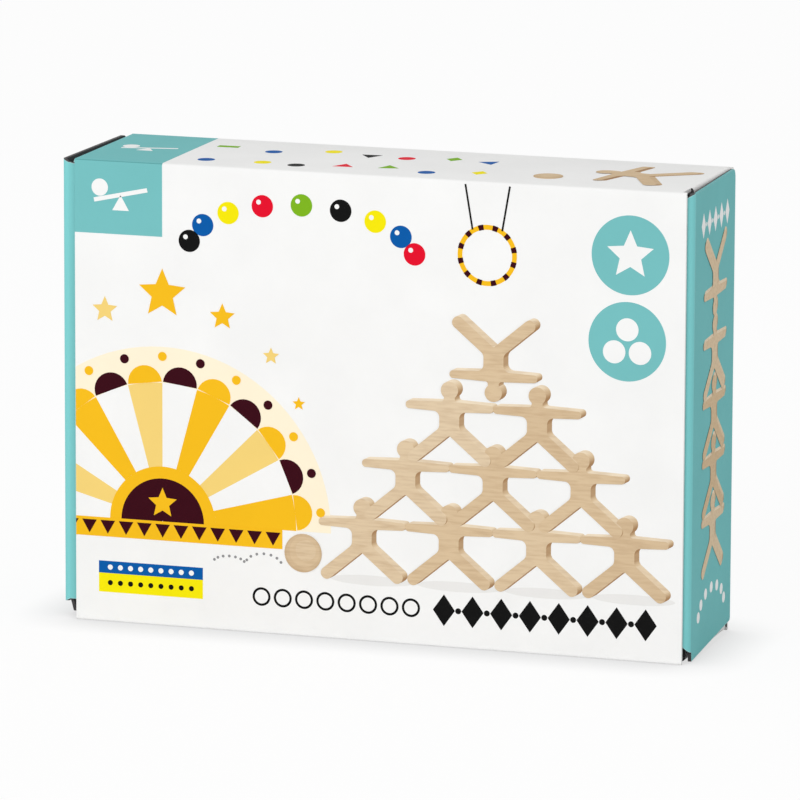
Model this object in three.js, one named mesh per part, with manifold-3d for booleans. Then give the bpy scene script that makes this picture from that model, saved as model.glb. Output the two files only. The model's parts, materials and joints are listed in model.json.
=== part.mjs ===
// An acrobat balancing game in its retail carton: a tuck-end folding box that stands on its
// long edge, holding ten flat wooden acrobats and one wooden ball.
// Millimetres, +Z up, printed front towards -Y, origin under the middle of the carton's base.
import * as THREE from "three";
import { mergeVertices } from "three/addons/utils/BufferGeometryUtils.js";
import Module from "manifold-3d";

// Carton sleeve
const CARTON_LENGTH = 260;
const CARTON_DEPTH = 70;
const CARTON_HEIGHT = 193;
const BOARD = 1.5;
const CREASE_GAP = 0.3;
const SLEEVE_CORNER_RADIUS = 1.2;
const GLUE_FLAP_WIDTH = 18;
const GLUE_FLAP_END_GAP = 4;
const GLUE_FLAP_TAPER = 5;

// Tuck flaps, hinged on the back panel's ends. Their upper edges fall a little towards the
// front, and their lower edges rise towards the hinge. The left flap stands further off and
// further open, and its lower front corner is cut back further.
const RIGHT_FLAP_STANDOFF = 1.2;
const LEFT_FLAP_STANDOFF = 3.7;
const FLAP_HINGE_CLEARANCE = 0.3;
const FLAP_FRONT_CLEARANCE = 0.8;
const FLAP_FOOT_CLEARANCE = 0.5;
const FLAP_FOOT_RISE = 4;
const FLAP_TOP_RADIUS = 3;
const FLAP_FOOT_RADIUS = 1;
const RIGHT_FLAP_AJAR = THREE.MathUtils.degToRad(1.2);
const LEFT_FLAP_AJAR = THREE.MathUtils.degToRad(2.4);
const RIGHT_FLAP_STEP = 0.4;
const LEFT_FLAP_STEP = 4.5;
const RIGHT_FLAP_CUT = 0.4;
const LEFT_FLAP_CUT = 3.5;

// Tuck lips, rolled over at the front and pushed in behind the front panel. Both ends of the
// bend are cut slantwise, from the flap's front edge to the narrower lip.
const BEND_RADIUS = 3.2;
const LIP_LENGTH = 12;
const LIP_LEAN = THREE.MathUtils.degToRad(9);
const LIP_CLEARANCE = 0.5;
const RIGHT_LIP_TOP_CUT = 2.6;
const LEFT_LIP_TOP_CUT = 3.2;
const RIGHT_LIP_FOOT_CUT = 7.5;
const LEFT_LIP_FOOT_CUT = 8.2;
const RIGHT_BEND_FOOT_CUT = 4.5;
const LEFT_BEND_FOOT_CUT = 6.6;
const LIP_CORNER_RADIUS = 7;

// Dust flaps, folded in from the top and bottom panels behind each tuck flap
const RIGHT_DUST_SETBACK = 1.8;
const LEFT_DUST_SETBACK = 0.4;
const DUST_STANDOFF = 1.2;
const DUST_LENGTH = 45;
const DUST_FRONT_CLEARANCE = 6.5;
const DUST_BACK_CLEARANCE = 0.5;
const DUST_TAPER = THREE.MathUtils.degToRad(24);
const DUST_CORNER_RADIUS = 4;

// Acrobats, sawn from flat stock. Rises and drops are measured from the arms' middle line.
const FIGURE_THICKNESS = 12;
const EDGE_CHAMFER = 0.8;
const HEAD_RADIUS = 9.5;
const HEAD_RISE = 17.5;
const NECK_WIDTH = 12;
const NECK_FILLET = 3;
const ARM_SPAN = 96.5;
const ARM_ROOT_WIDTH = 11;
const ARM_TIP_WIDTH = 8;
const ARM_END_RADIUS = 3.8;
const ARMPIT_FILLET = 7;
const WAIST_WIDTH = 22;
const HIP_FILLET = 7;
const CROTCH_DROP = 31;
const CROTCH_FILLET = 2;
const SOLE_DROP = 62;
const LEG_WIDTH = 13;
const LEG_SLOPE = THREE.MathUtils.degToRad(40);
const FOOT_RADIUS = 6.2;

// Packing: pairs of acrobats side by side near the right end, the upper one of each pair
// standing on the arms of the lower one, and the ball near the left end
const PAIRS = 5;
const FIGURE_GAP = 0.5;
const REST_GAP = 0.3;
const STACK_END_GAP = 6;
const BALL_RADIUS = 18;
const BALL_END_GAP = 1;

// Fineness of the round stretches
const CORNER_STEPS = 2;
const HEAD_ARCS = 4;
const BALL_STEPS = 24;

// Places that several pieces share
const innerFront = -CARTON_DEPTH / 2 + BOARD;
const innerBack = CARTON_DEPTH / 2 - BOARD;
const rightPanelEnd = CARTON_LENGTH / 2 - RIGHT_DUST_SETBACK;
const leftPanelEnd = CARTON_LENGTH / 2 - LEFT_DUST_SETBACK;
const hingeCut = BOARD + CREASE_GAP;
const flapReach = CARTON_DEPTH - BOARD - LIP_CLEARANCE - BEND_RADIUS;
const bendTop = CARTON_HEIGHT - FLAP_FRONT_CLEARANCE;
const dustInnerX = rightPanelEnd + DUST_STANDOFF - BOARD;
const floorZ = BOARD + REST_GAP;
const lipTongueReach = LIP_LENGTH * Math.sin(LIP_LEAN) + (BOARD - BEND_RADIUS) * Math.cos(LIP_LEAN);
const lipRoom = LIP_CLEARANCE + BEND_RADIUS + Math.max(lipTongueReach, 0);

const printedCard = new THREE.MeshStandardMaterial({ color: 0xf4f4f3, roughness: 0.6 });
const tealCard = new THREE.MeshStandardMaterial({ color: 0x7cc7c4, roughness: 0.6 });
const plainCard = new THREE.MeshStandardMaterial({ color: 0x4a4a4c, roughness: 0.85 });
const beech = new THREE.MeshStandardMaterial({ color: 0xdcc39a, roughness: 0.65 });

const wasm = await Module();
wasm.setup();

function corner(x, y, radius = 0) {
  return { x, y, radius };
}

// The arc that rounds one corner of an outline, tangent to the sides before and after it.
function cornerArc(before, at, after) {
  const place = new THREE.Vector2(at.x, at.y);
  const back = new THREE.Vector2(before.x, before.y).sub(place).normalize();
  const ahead = new THREE.Vector2(after.x, after.y).sub(place).normalize();
  const half = Math.acos(back.dot(ahead)) / 2;
  const tangent = at.radius / Math.tan(half);
  const middle = back.clone().add(ahead).normalize();
  const centre = middle.multiplyScalar(at.radius / Math.sin(half)).add(place);
  const clockwise = back.cross(ahead) > 0;
  const from = back.multiplyScalar(tangent).add(place).sub(centre).angle();
  const to = ahead.multiplyScalar(tangent).add(place).sub(centre).angle();
  return new THREE.EllipseCurve(centre.x, centre.y, at.radius, at.radius, from, to, clockwise);
}

// An outline through the given corners in turn, left open at its end.
function roundedPath(corners) {
  const shape = new THREE.Shape();
  corners.forEach((at, i) => {
    const after = corners[(i + 1) % corners.length];
    const arc = at.radius > 0 ? cornerArc(corners.at(i - 1), at, after) : null;
    const start = arc ? arc.getPoint(0) : at;
    if (i === 0) shape.moveTo(start.x, start.y);
    else shape.lineTo(start.x, start.y);
    if (!arc) return;
    shape.curves.push(arc);
    shape.currentPoint.copy(arc.getPoint(1));
  });
  return shape;
}

function extrude(shape, depth) {
  return new THREE.ExtrudeGeometry(shape, {
    depth,
    bevelEnabled: false,
    curveSegments: CORNER_STEPS,
  });
}

// A section drawn in Y and Z, drawn out along X from the given place.
function alongX(section, start, length) {
  const turn = new THREE.Matrix4().makeBasis(
    new THREE.Vector3(0, 1, 0),
    new THREE.Vector3(0, 0, 1),
    new THREE.Vector3(1, 0, 0),
  );
  return extrude(section, length).applyMatrix4(turn).translate(start, 0, 0);
}

// A shape drawn in X and Z stands up when it is turned about X.
function standUp(geometry) {
  return geometry.rotateX(Math.PI / 2);
}

function solidOf(geometry) {
  const bare = new THREE.BufferGeometry();
  bare.setAttribute("position", geometry.getAttribute("position"));
  const merged = mergeVertices(bare);
  return new wasm.Manifold(
    new wasm.Mesh({
      numProp: 3,
      vertProperties: merged.getAttribute("position").array,
      triVerts: Uint32Array.from(merged.index.array),
    }),
  );
}

function geometryOf(solid) {
  const { vertProperties, triVerts } = solid.getMesh();
  const geometry = new THREE.BufferGeometry();
  geometry.setAttribute("position", new THREE.BufferAttribute(vertProperties, 3));
  geometry.setIndex(new THREE.BufferAttribute(triVerts, 1));
  geometry.computeVertexNormals();
  return geometry;
}

function add(parent, name, geometry, material) {
  const mesh = new THREE.Mesh(geometry, material);
  mesh.name = name;
  parent.add(mesh);
  return mesh;
}

// Front or back panel: a full-height board whose outer long edges are rounded by the creases.
function uprightPanel(outward) {
  const outer = (outward * CARTON_DEPTH) / 2;
  const inner = outer - outward * BOARD;
  const section = roundedPath([
    corner(outer, 0, SLEEVE_CORNER_RADIUS),
    corner(outer, CARTON_HEIGHT, SLEEVE_CORNER_RADIUS),
    corner(inner, CARTON_HEIGHT),
    corner(inner, 0),
  ]);
  return alongX(section, -CARTON_LENGTH / 2, CARTON_LENGTH);
}

// Top or bottom panel, between the upright ones and set back at both ends.
function crossPanel(low) {
  const front = innerFront + CREASE_GAP;
  const back = innerBack - CREASE_GAP;
  const section = roundedPath([
    corner(front, low),
    corner(back, low),
    corner(back, low + BOARD),
    corner(front, low + BOARD),
  ]);
  return alongX(section, -leftPanelEnd, leftPanelEnd + rightPanelEnd);
}

// Glue flap: folded from the back panel and stuck under the top panel.
function glueFlap() {
  const half = rightPanelEnd - GLUE_FLAP_END_GAP;
  const back = innerBack - CREASE_GAP;
  const front = innerBack - GLUE_FLAP_WIDTH;
  const plan = roundedPath([
    corner(-half, back),
    corner(-half + GLUE_FLAP_TAPER, front),
    corner(half - GLUE_FLAP_TAPER, front),
    corner(half, back),
  ]);
  return extrude(plan, BOARD).translate(0, 0, CARTON_HEIGHT - 2 * BOARD - CREASE_GAP);
}

// Tuck flap's flat panel, drawn from its hinge: the outer face lies at x = 0, the front at -y.
// Its lower front corner is cut off: a step back at the bend's foot, then a slant to the floor.
function tuckFlap({ flapStep, flapCut, bendFootCut }) {
  const front = -flapReach + CREASE_GAP;
  const section = roundedPath([
    corner(front, bendFootCut),
    corner(front + flapStep, bendFootCut),
    corner(front + flapStep + flapCut, FLAP_FOOT_CLEARANCE),
    corner(-hingeCut, FLAP_FOOT_CLEARANCE + FLAP_FOOT_RISE, FLAP_FOOT_RADIUS),
    corner(-hingeCut, CARTON_HEIGHT - FLAP_HINGE_CLEARANCE, FLAP_TOP_RADIUS),
    corner(front, bendTop),
  ]);
  return alongX(section, -BOARD, BOARD);
}

// Tuck lip, in the same frame: the rolled bend and the tongue that leans in behind the front
// panel. Its plan is drawn upwards and then trimmed to its outline as seen from the front.
function tuckLip({ lipTopCut, lipFootCut, bendFootCut }) {
  const turn = Math.PI / 2 + LIP_LEAN;
  const inward = new THREE.Vector2(-Math.cos(LIP_LEAN), Math.sin(LIP_LEAN));
  const outward = new THREE.Vector2(-Math.sin(LIP_LEAN), -Math.cos(LIP_LEAN));
  const centre = new THREE.Vector2(-BEND_RADIUS, -flapReach);
  const tip = centre.clone().addScaledVector(outward, BEND_RADIUS).addScaledVector(inward, LIP_LENGTH);
  const tipInside = tip.clone().addScaledVector(outward, -BOARD);
  const plan = new THREE.Shape();
  plan.absarc(centre.x, centre.y, BEND_RADIUS, 0, -turn, true);
  plan.lineTo(tip.x, tip.y);
  plan.lineTo(tipInside.x, tipInside.y);
  plan.absarc(centre.x, centre.y, BEND_RADIUS - BOARD, -turn, 0, false);
  const tongue = extrude(plan, CARTON_HEIGHT);
  const lipTop = CARTON_HEIGHT - lipTopCut;
  const outline = roundedPath([
    corner(BOARD, bendFootCut),
    corner(BOARD, bendTop),
    corner(0, bendTop),
    corner(-BEND_RADIUS, lipTop),
    corner(tip.x, lipTop, LIP_CORNER_RADIUS),
    corner(tip.x, lipFootCut, LIP_CORNER_RADIUS),
    corner(-BEND_RADIUS, lipFootCut),
    corner(0, bendFootCut),
  ]);
  const trim = standUp(extrude(outline, CARTON_DEPTH));
  return geometryOf(solidOf(tongue).intersect(solidOf(trim)));
}

// Dust flap, drawn hanging from its hinge line. Its back edge tapers clear of the tuck flap.
function dustFlap() {
  const front = innerFront + DUST_FRONT_CLEARANCE;
  const back = innerBack - DUST_BACK_CLEARANCE;
  const taperedBack = back - (DUST_LENGTH - hingeCut) * Math.tan(DUST_TAPER);
  const section = roundedPath([
    corner(front, -hingeCut),
    corner(front, -DUST_LENGTH, DUST_CORNER_RADIUS),
    corner(taperedBack, -DUST_LENGTH, DUST_CORNER_RADIUS),
    corner(back, -hingeCut),
  ]);
  return alongX(section, -BOARD, BOARD);
}

// One closed end of the carton, made for the right side and mirrored for the left.
function cartonEnd(name, side, { standoff, ajar, dustSetback, ...cuts }) {
  const end = new THREE.Group();
  end.scale.x = side;
  const flap = new THREE.Group();
  flap.position.set(CARTON_LENGTH / 2 + standoff, CARTON_DEPTH / 2, 0);
  flap.rotation.z = ajar;
  end.add(flap);
  add(flap, `${name}_tuck_flap`, tuckFlap(cuts), tealCard);
  add(flap, `${name}_tuck_lip`, tuckLip(cuts), tealCard);
  const dustHingeX = CARTON_LENGTH / 2 - dustSetback + DUST_STANDOFF;
  const topDust = add(end, `${name}_top_dust_flap`, dustFlap(), printedCard);
  topDust.position.set(dustHingeX, 0, CARTON_HEIGHT);
  const bottomDust = add(end, `${name}_bottom_dust_flap`, dustFlap(), printedCard);
  bottomDust.position.set(dustHingeX, 0, 0);
  bottomDust.scale.z = -1;
  return end;
}

// Where the leg's two sides run: from the crotch along the slope, one leg's width apart.
const legAlong = new THREE.Vector2(Math.cos(LEG_SLOPE), -Math.sin(LEG_SLOPE));
const legAcross = new THREE.Vector2(Math.sin(LEG_SLOPE), Math.cos(LEG_SLOPE));
const crotch = new THREE.Vector2(0, -CROTCH_DROP);
const footDrop = SOLE_DROP - FOOT_RADIUS - CROTCH_DROP + legAcross.y * FOOT_RADIUS;
const footRun = footDrop / Math.sin(LEG_SLOPE);
const footX = legAcross.x * FOOT_RADIUS + legAlong.x * footRun;

// The arm's upper edge falls evenly from the neck to the tip.
function armTop(x) {
  const root = NECK_WIDTH / 2;
  const share = (x - root) / (ARM_SPAN / 2 - root);
  return THREE.MathUtils.lerp(ARM_ROOT_WIDTH, ARM_TIP_WIDTH, share) / 2;
}

// An acrobat's outline: arms level, legs astride, round head. The right half is mirrored.
function acrobatOutline() {
  const legPoint = (along, across) => crotch
    .clone()
    .addScaledVector(legAlong, along)
    .addScaledVector(legAcross, across);
  const legEnd = footRun + FOOT_RADIUS;
  const footInner = legPoint(legEnd, 0);
  const footOuter = legPoint(legEnd, LEG_WIDTH);
  const hipRun = (WAIST_WIDTH / 2 - legAcross.x * LEG_WIDTH) / legAlong.x;
  const hip = legPoint(hipRun, LEG_WIDTH);
  const neckAngle = Math.acos(NECK_WIDTH / 2 / HEAD_RADIUS);
  const neckY = HEAD_RISE - HEAD_RADIUS * Math.sin(neckAngle);
  const right = [
    corner(NECK_WIDTH / 2, neckY),
    corner(NECK_WIDTH / 2, armTop(NECK_WIDTH / 2), NECK_FILLET),
    corner(ARM_SPAN / 2, armTop(ARM_SPAN / 2), ARM_END_RADIUS),
    corner(ARM_SPAN / 2, -armTop(ARM_SPAN / 2), ARM_END_RADIUS),
    corner(WAIST_WIDTH / 2, -armTop(WAIST_WIDTH / 2), ARMPIT_FILLET),
    corner(hip.x, hip.y, HIP_FILLET),
    corner(footOuter.x, footOuter.y, FOOT_RADIUS),
    corner(footInner.x, footInner.y, FOOT_RADIUS),
  ];
  const left = right.toReversed().map((at) => corner(-at.x, at.y, at.radius));
  const outline = roundedPath([...right, corner(crotch.x, crotch.y, CROTCH_FILLET), ...left]);
  const sweep = Math.PI + 2 * neckAngle;
  for (let i = 0; i < HEAD_ARCS; i++) {
    const from = Math.PI + neckAngle - (sweep * i) / HEAD_ARCS;
    outline.absarc(0, HEAD_RISE, HEAD_RADIUS, from, from - sweep / HEAD_ARCS, true);
  }
  return outline;
}

// An acrobat standing with its soles at z = 0, its edges lightly chamfered.
function acrobat() {
  const core = FIGURE_THICKNESS - 2 * EDGE_CHAMFER;
  const flat = new THREE.ExtrudeGeometry(acrobatOutline(), {
    depth: core,
    bevelSegments: 1,
    bevelThickness: EDGE_CHAMFER,
    bevelSize: EDGE_CHAMFER,
    bevelOffset: -EDGE_CHAMFER,
    curveSegments: CORNER_STEPS,
  });
  return standUp(flat.translate(0, SOLE_DROP, -core / 2));
}

const part = new THREE.Group();
add(part, "front_panel", uprightPanel(-1), printedCard);
add(part, "back_panel", uprightPanel(1), printedCard);
add(part, "top_panel", crossPanel(CARTON_HEIGHT - BOARD), printedCard);
add(part, "bottom_panel", crossPanel(0), printedCard);
add(part, "glue_flap", glueFlap(), plainCard);

const rightEnd = cartonEnd("right", 1, {
  standoff: RIGHT_FLAP_STANDOFF,
  ajar: RIGHT_FLAP_AJAR,
  dustSetback: RIGHT_DUST_SETBACK,
  flapStep: RIGHT_FLAP_STEP,
  flapCut: RIGHT_FLAP_CUT,
  lipTopCut: RIGHT_LIP_TOP_CUT,
  lipFootCut: RIGHT_LIP_FOOT_CUT,
  bendFootCut: RIGHT_BEND_FOOT_CUT,
});
const leftEnd = cartonEnd("left", -1, {
  standoff: LEFT_FLAP_STANDOFF,
  ajar: LEFT_FLAP_AJAR,
  dustSetback: LEFT_DUST_SETBACK,
  flapStep: LEFT_FLAP_STEP,
  flapCut: LEFT_FLAP_CUT,
  lipTopCut: LEFT_LIP_TOP_CUT,
  lipFootCut: LEFT_LIP_FOOT_CUT,
  bendFootCut: LEFT_BEND_FOOT_CUT,
});
part.add(rightEnd, leftEnd);

const acrobatShape = acrobat();
const stackX = dustInnerX - STACK_END_GAP - ARM_SPAN / 2;
const upperZ = floorZ + SOLE_DROP + armTop(footX) + REST_GAP;
const stackDepth = innerBack - innerFront - lipRoom;
const lanes = Math.floor(stackDepth / (FIGURE_THICKNESS + FIGURE_GAP));
for (let i = 0; i < PAIRS; i++) {
  const x = stackX - Math.floor(i / lanes) * (ARM_SPAN + FIGURE_GAP);
  const y = innerBack - ((i % lanes) + 0.5) * (stackDepth / lanes);
  add(part, `acrobat_lower_${i + 1}`, acrobatShape, beech).position.set(x, y, floorZ);
  add(part, `acrobat_upper_${i + 1}`, acrobatShape, beech).position.set(x, y, upperZ);
}

const ballShape = new THREE.SphereGeometry(BALL_RADIUS, BALL_STEPS, BALL_STEPS / 2);
const ballX = -(dustInnerX - BALL_END_GAP - BALL_RADIUS);
add(part, "ball", ballShape, beech).position.set(ballX, 0, floorZ + BALL_RADIUS);

export default part;
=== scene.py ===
# %% [markdown]
# # An acrobat balancing game in its carton
# The object is a tuck-end folding carton that stands on its long edge. Ten flat wooden acrobats
# and one wooden ball lie inside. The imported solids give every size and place, and this lesson
# dresses them: it folds the board with soft creases and raw edges, prints the panels with thin
# films of ink, and saws and sands the wood.

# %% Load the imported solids
import json
import math
import random
from typing import NamedTuple

import bmesh
import bpy
from mathutils import Matrix, Quaternion, Vector

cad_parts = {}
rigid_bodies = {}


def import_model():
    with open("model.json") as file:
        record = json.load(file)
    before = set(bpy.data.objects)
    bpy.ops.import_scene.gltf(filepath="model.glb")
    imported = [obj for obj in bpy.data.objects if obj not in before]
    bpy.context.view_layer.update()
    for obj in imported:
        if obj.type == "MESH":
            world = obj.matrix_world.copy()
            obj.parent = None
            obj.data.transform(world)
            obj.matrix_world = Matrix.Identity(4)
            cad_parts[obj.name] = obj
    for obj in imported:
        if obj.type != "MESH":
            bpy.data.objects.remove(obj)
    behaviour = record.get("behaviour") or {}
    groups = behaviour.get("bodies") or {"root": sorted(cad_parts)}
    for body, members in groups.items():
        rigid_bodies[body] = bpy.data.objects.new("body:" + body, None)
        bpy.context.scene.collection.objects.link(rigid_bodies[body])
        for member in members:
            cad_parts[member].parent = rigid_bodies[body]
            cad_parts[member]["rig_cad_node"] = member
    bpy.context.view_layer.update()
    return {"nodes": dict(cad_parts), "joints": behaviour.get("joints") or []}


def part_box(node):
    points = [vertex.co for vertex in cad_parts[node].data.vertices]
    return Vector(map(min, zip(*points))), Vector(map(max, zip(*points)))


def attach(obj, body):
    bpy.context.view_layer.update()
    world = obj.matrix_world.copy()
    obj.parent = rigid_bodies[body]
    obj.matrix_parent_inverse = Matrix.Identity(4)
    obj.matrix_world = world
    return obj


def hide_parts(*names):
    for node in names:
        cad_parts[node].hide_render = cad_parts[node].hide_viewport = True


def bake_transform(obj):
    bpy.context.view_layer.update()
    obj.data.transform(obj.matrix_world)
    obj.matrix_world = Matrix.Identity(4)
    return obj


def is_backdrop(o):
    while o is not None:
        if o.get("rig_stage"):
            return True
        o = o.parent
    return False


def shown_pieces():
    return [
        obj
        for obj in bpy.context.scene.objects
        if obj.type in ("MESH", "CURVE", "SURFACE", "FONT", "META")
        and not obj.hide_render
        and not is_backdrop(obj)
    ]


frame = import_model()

joints = {joint["name"]: joint for joint in frame["joints"]}
MM = 0.001

# %% [markdown]
# ## Where the photographer stood
# The long edges of the carton hardly run together, so the picture was taken from far away
# through a long lens. A camera that stands close would have to be wide, and it would spread the
# front panel. The camera aims at the middle of the carton from the front right, a little above.

# %% Camera
CAMERA_AZIMUTH = math.radians(18.03)
CAMERA_ELEVATION = math.radians(11)
CAMERA_ROLL = math.radians(0.24)
CAMERA_DISTANCE = 3.078
CAMERA_TARGET = Vector((-0.00105, 0, 0.09424))
CAMERA_LENS = 337.5
CAMERA_SENSOR = 36

backward = Vector((
    math.sin(CAMERA_AZIMUTH) * math.cos(CAMERA_ELEVATION),
    -math.cos(CAMERA_AZIMUTH) * math.cos(CAMERA_ELEVATION),
    math.sin(CAMERA_ELEVATION),
))
camera = bpy.data.objects.new("camera", bpy.data.cameras.new("camera"))
bpy.context.scene.collection.objects.link(camera)
camera.data.lens = CAMERA_LENS
camera.data.sensor_width = CAMERA_SENSOR
camera.data.clip_end = 100
camera.location = CAMERA_TARGET + backward * CAMERA_DISTANCE
camera.rotation_mode = "QUATERNION"
aim = (-backward).to_track_quat("-Z", "Y")
camera.rotation_quaternion = aim @ Quaternion((0, 0, 1), CAMERA_ROLL)
bpy.context.scene.camera = camera
print(f"camera {CAMERA_DISTANCE} m away with a {CAMERA_LENS} mm lens")

# %% [markdown]
# ## Writing finishes with few lines
# Every finish here is a small tree of nodes. One helper adds a node, and sets or links its
# sockets, so that a finish reads as a list of what it is made of. Patterns read Object
# coordinates, which are metres in the shared frame, so a scale of 1000 gives marks of about
# a millimetre.

# %% Helpers for node trees
def linear(colour):
    """A colour written as #rrggbb, in the linear light that shaders use."""
    shares = [int(colour[i : i + 2], 16) / 255 for i in (1, 3, 5)]
    return [s / 12.92 if s <= 0.04045 else ((s + 0.055) / 1.055) ** 2.4 for s in shares] + [1]


def node(tree, kind, values, **settings):
    """A new shader node. A value that is a socket is linked, and any other is set."""
    made = tree.nodes.new("ShaderNode" + kind)
    for key, value in settings.items():
        setattr(made, key, value)
    for key, value in values.items():
        if isinstance(value, bpy.types.NodeSocket):
            tree.links.new(value, made.inputs[key])
        else:
            made.inputs[key].default_value = value
    return made


def noise(tree, scale, detail, stretch=(1, 1, 1)):
    """Soft random marks in Object coordinates, stretched where wanted."""
    place = node(tree, "TexCoord", {}).outputs["Object"]
    spread = node(tree, "Mapping", {"Vector": place, "Scale": stretch}).outputs["Vector"]
    marks = {"Vector": spread, "Scale": scale, "Detail": detail}
    return node(tree, "TexNoise", marks).outputs["Fac"]


def ramp(tree, share, stops):
    """Colours laid along a share from 0 to 1."""
    made = node(tree, "ValToRGB", {"Fac": share})
    while len(made.color_ramp.elements) < len(stops):
        made.color_ramp.elements.new(1)
    for element, (place, colour) in zip(made.color_ramp.elements, stops):
        element.position = place
        element.color = colour
    return made.outputs["Color"]


def span(tree, share, low, high):
    """A share from 0 to 1 as a number between two values."""
    values = {"Value": share, "To Min": low, "To Max": high}
    return node(tree, "MapRange", values).outputs["Result"]


def mix(tree, share, first, second):
    """Two colours or colour sockets mixed by a share."""
    made = node(tree, "Mix", {0: share, 6: first, 7: second}, data_type="RGBA")
    return made.outputs[2]


def toned(colour, factor):
    """A colour made lighter or darker."""
    return [min(1, c * factor) for c in colour[:3]] + [1]


def new_finish(name):
    """An empty finish: the material, its tree and its main shader."""
    made = bpy.data.materials.new(name)
    made.use_nodes = True
    return made, made.node_tree, made.node_tree.nodes["Principled BSDF"]


print("helpers ready")

# %% [markdown]
# ## Printed board
# The carton is board with a printed paper face under a matt laminate. Up close such paper is
# not one colour: the ink lies a little unevenly, and the fibres below give the laminate a fine
# tooth. All printed colours share this one recipe, so white, teal and every ink look as if they
# were under the same film. Where the sheet is creased, the colour is worn paler, and the
# Bevel node finds those edges: its normal turns away from the true one only near them. Where
# the sheet is rolled, a painted highlight makes the colour lighter, as if the roll caught more
# light: a piece with a roll marks it with an attribute of its own, named rolled.

# %% Printed finishes
MATT = 0.03
SHEEN_PATCH = 160
SHEEN_ROUGH = (0.5, 0.66)
TOOTH = 1500
TOOTH_STRENGTH = 0.12
TOOTH_HEIGHT = 0.06 * MM
INK_CLOUD = 38
INK_THIN = 0.965
# Painted highlight: how much lighter the print is drawn where the sheet is rolled.
ROLL_HIGHLIGHT = 1.2
RUB_RADIUS = 0.7 * MM
RUB_FULL = 0.72
RUB_PATCH = 240
RUBBED = "#f2f1ee"
INK_COLOURS = dict(
    white="#f4f4f3", teal="#76bebf", gold="#f5bd1f", straw="#f4d37a", cream="#fdf1d6",
    maroon="#3a0c18", blue="#0b5aa6", yellow="#f5e70c", red="#e4122e", green="#7db321",
    black="#141414", grey="#8f8f90", mist="#e9e8e6",
)


def laminate(tree, shader):
    """The matt film over the print: little shine, and the paper's fine tooth."""
    shader.inputs["Specular IOR Level"].default_value = MATT
    sheen = noise(tree, SHEEN_PATCH, detail=3)
    tree.links.new(span(tree, sheen, *SHEEN_ROUGH), shader.inputs["Roughness"])
    tooth = noise(tree, TOOTH, detail=3)
    relief = {"Height": tooth, "Strength": TOOTH_STRENGTH, "Distance": TOOTH_HEIGHT}
    bump = node(tree, "Bump", relief)
    tree.links.new(bump.outputs["Normal"], shader.inputs["Normal"])


def worn_and_highlit_base(tree, full, base):
    """A printed base with a painted highlight where the sheet is rolled, paler along its worn
    creases.
    """
    rolled = node(tree, "Attribute", {}, attribute_name="rolled").outputs["Fac"]
    # Painted highlight on the roll, lighter as if it caught more light.
    base = mix(tree, rolled, base, toned(full, ROLL_HIGHLIGHT))
    soft = node(tree, "Bevel", {"Radius": RUB_RADIUS}, samples=6).outputs["Normal"]
    true = node(tree, "NewGeometry", {}).outputs["Normal"]
    facing = node(tree, "VectorMath", {0: soft, 1: true}, operation="DOT_PRODUCT").outputs["Value"]
    rub = {"Value": facing, "From Min": 1, "From Max": RUB_FULL}
    worn = node(tree, "MapRange", rub).outputs["Result"]
    patches = noise(tree, RUB_PATCH, detail=5)
    patchy = node(tree, "Math", {0: worn, 1: patches}, operation="MULTIPLY").outputs[0]
    return mix(tree, patchy, base, linear(RUBBED))


def printed(name, colour, worn_and_highlit=False):
    """A printed colour under a matt laminate."""
    made, tree, shader = new_finish(name)
    full = linear(colour)
    clouds = noise(tree, INK_CLOUD, detail=4)
    base = ramp(tree, clouds, [(0.3, toned(full, INK_THIN)), (0.7, full)])
    if worn_and_highlit:
        base = worn_and_highlit_base(tree, full, base)
    tree.links.new(base, shader.inputs["Base Color"])
    laminate(tree, shader)
    return made


white_card = printed("white_card", INK_COLOURS["white"], worn_and_highlit=True)
teal_card = printed("teal_card", INK_COLOURS["teal"], worn_and_highlit=True)
inks = {name: printed(f"{name}_ink", colour) for name, colour in INK_COLOURS.items()}
print(f"2 printed cards and {len(inks)} inks")

# %% [markdown]
# ## Raw board
# The inside of the carton and the cut edges are unprinted dark board; the inside's deep
# charcoal is partly painted shade, for the gaps and notches where it shows. The inside shows long
# fibres and pale flecks. The cut edge shows the layers pressed together, so its marks are drawn
# out along the sheet. Both are rough, with no laminate to shine.

# %% Raw board finishes
CHARCOAL = "#4a4a4c"
CHARCOAL_DARK = "#343436"
FLECK = "#626160"
EDGE_DARK = "#2c2b2c"
EDGE_PALE = "#575455"
FIBRE_SCALE = 900
FIBRE_ROUGH = (0.78, 0.95)
FIBRE_STRENGTH = 0.3
FIBRE_HEIGHT = 0.1 * MM
SPECK_SCALE = 620
ALONG_PANEL = (0.25, 1, 1)
ALONG_EDGE = (1, 1, 0.2)
PURE_BLACK = (0, 0, 0, 1)
PURE_WHITE = (1, 1, 1, 1)


def raw_board(name, dark, pale, stretch):
    """Unprinted board with fibres and flecks."""
    made, tree, shader = new_finish(name)
    fibres = noise(tree, FIBRE_SCALE, detail=6, stretch=stretch)
    base = ramp(tree, fibres, [(0.32, linear(dark)), (0.68, linear(pale))])
    grit = noise(tree, SPECK_SCALE, detail=2)
    specks = ramp(tree, grit, [(0.66, PURE_BLACK), (0.74, PURE_WHITE)])
    tree.links.new(mix(tree, specks, base, linear(FLECK)), shader.inputs["Base Color"])
    tree.links.new(span(tree, fibres, *FIBRE_ROUGH), shader.inputs["Roughness"])
    relief = {"Height": fibres, "Strength": FIBRE_STRENGTH, "Distance": FIBRE_HEIGHT}
    bump = node(tree, "Bump", relief)
    tree.links.new(bump.outputs["Normal"], shader.inputs["Normal"])
    return made


# The inside's deep charcoal is partly painted shade, for the gaps and notches where it shows.
inside_board = raw_board("inside_board", CHARCOAL_DARK, CHARCOAL, ALONG_PANEL)
cut_edge = raw_board("cut_edge", EDGE_DARK, EDGE_PALE, ALONG_EDGE)
print("inside board and cut edge")

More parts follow.
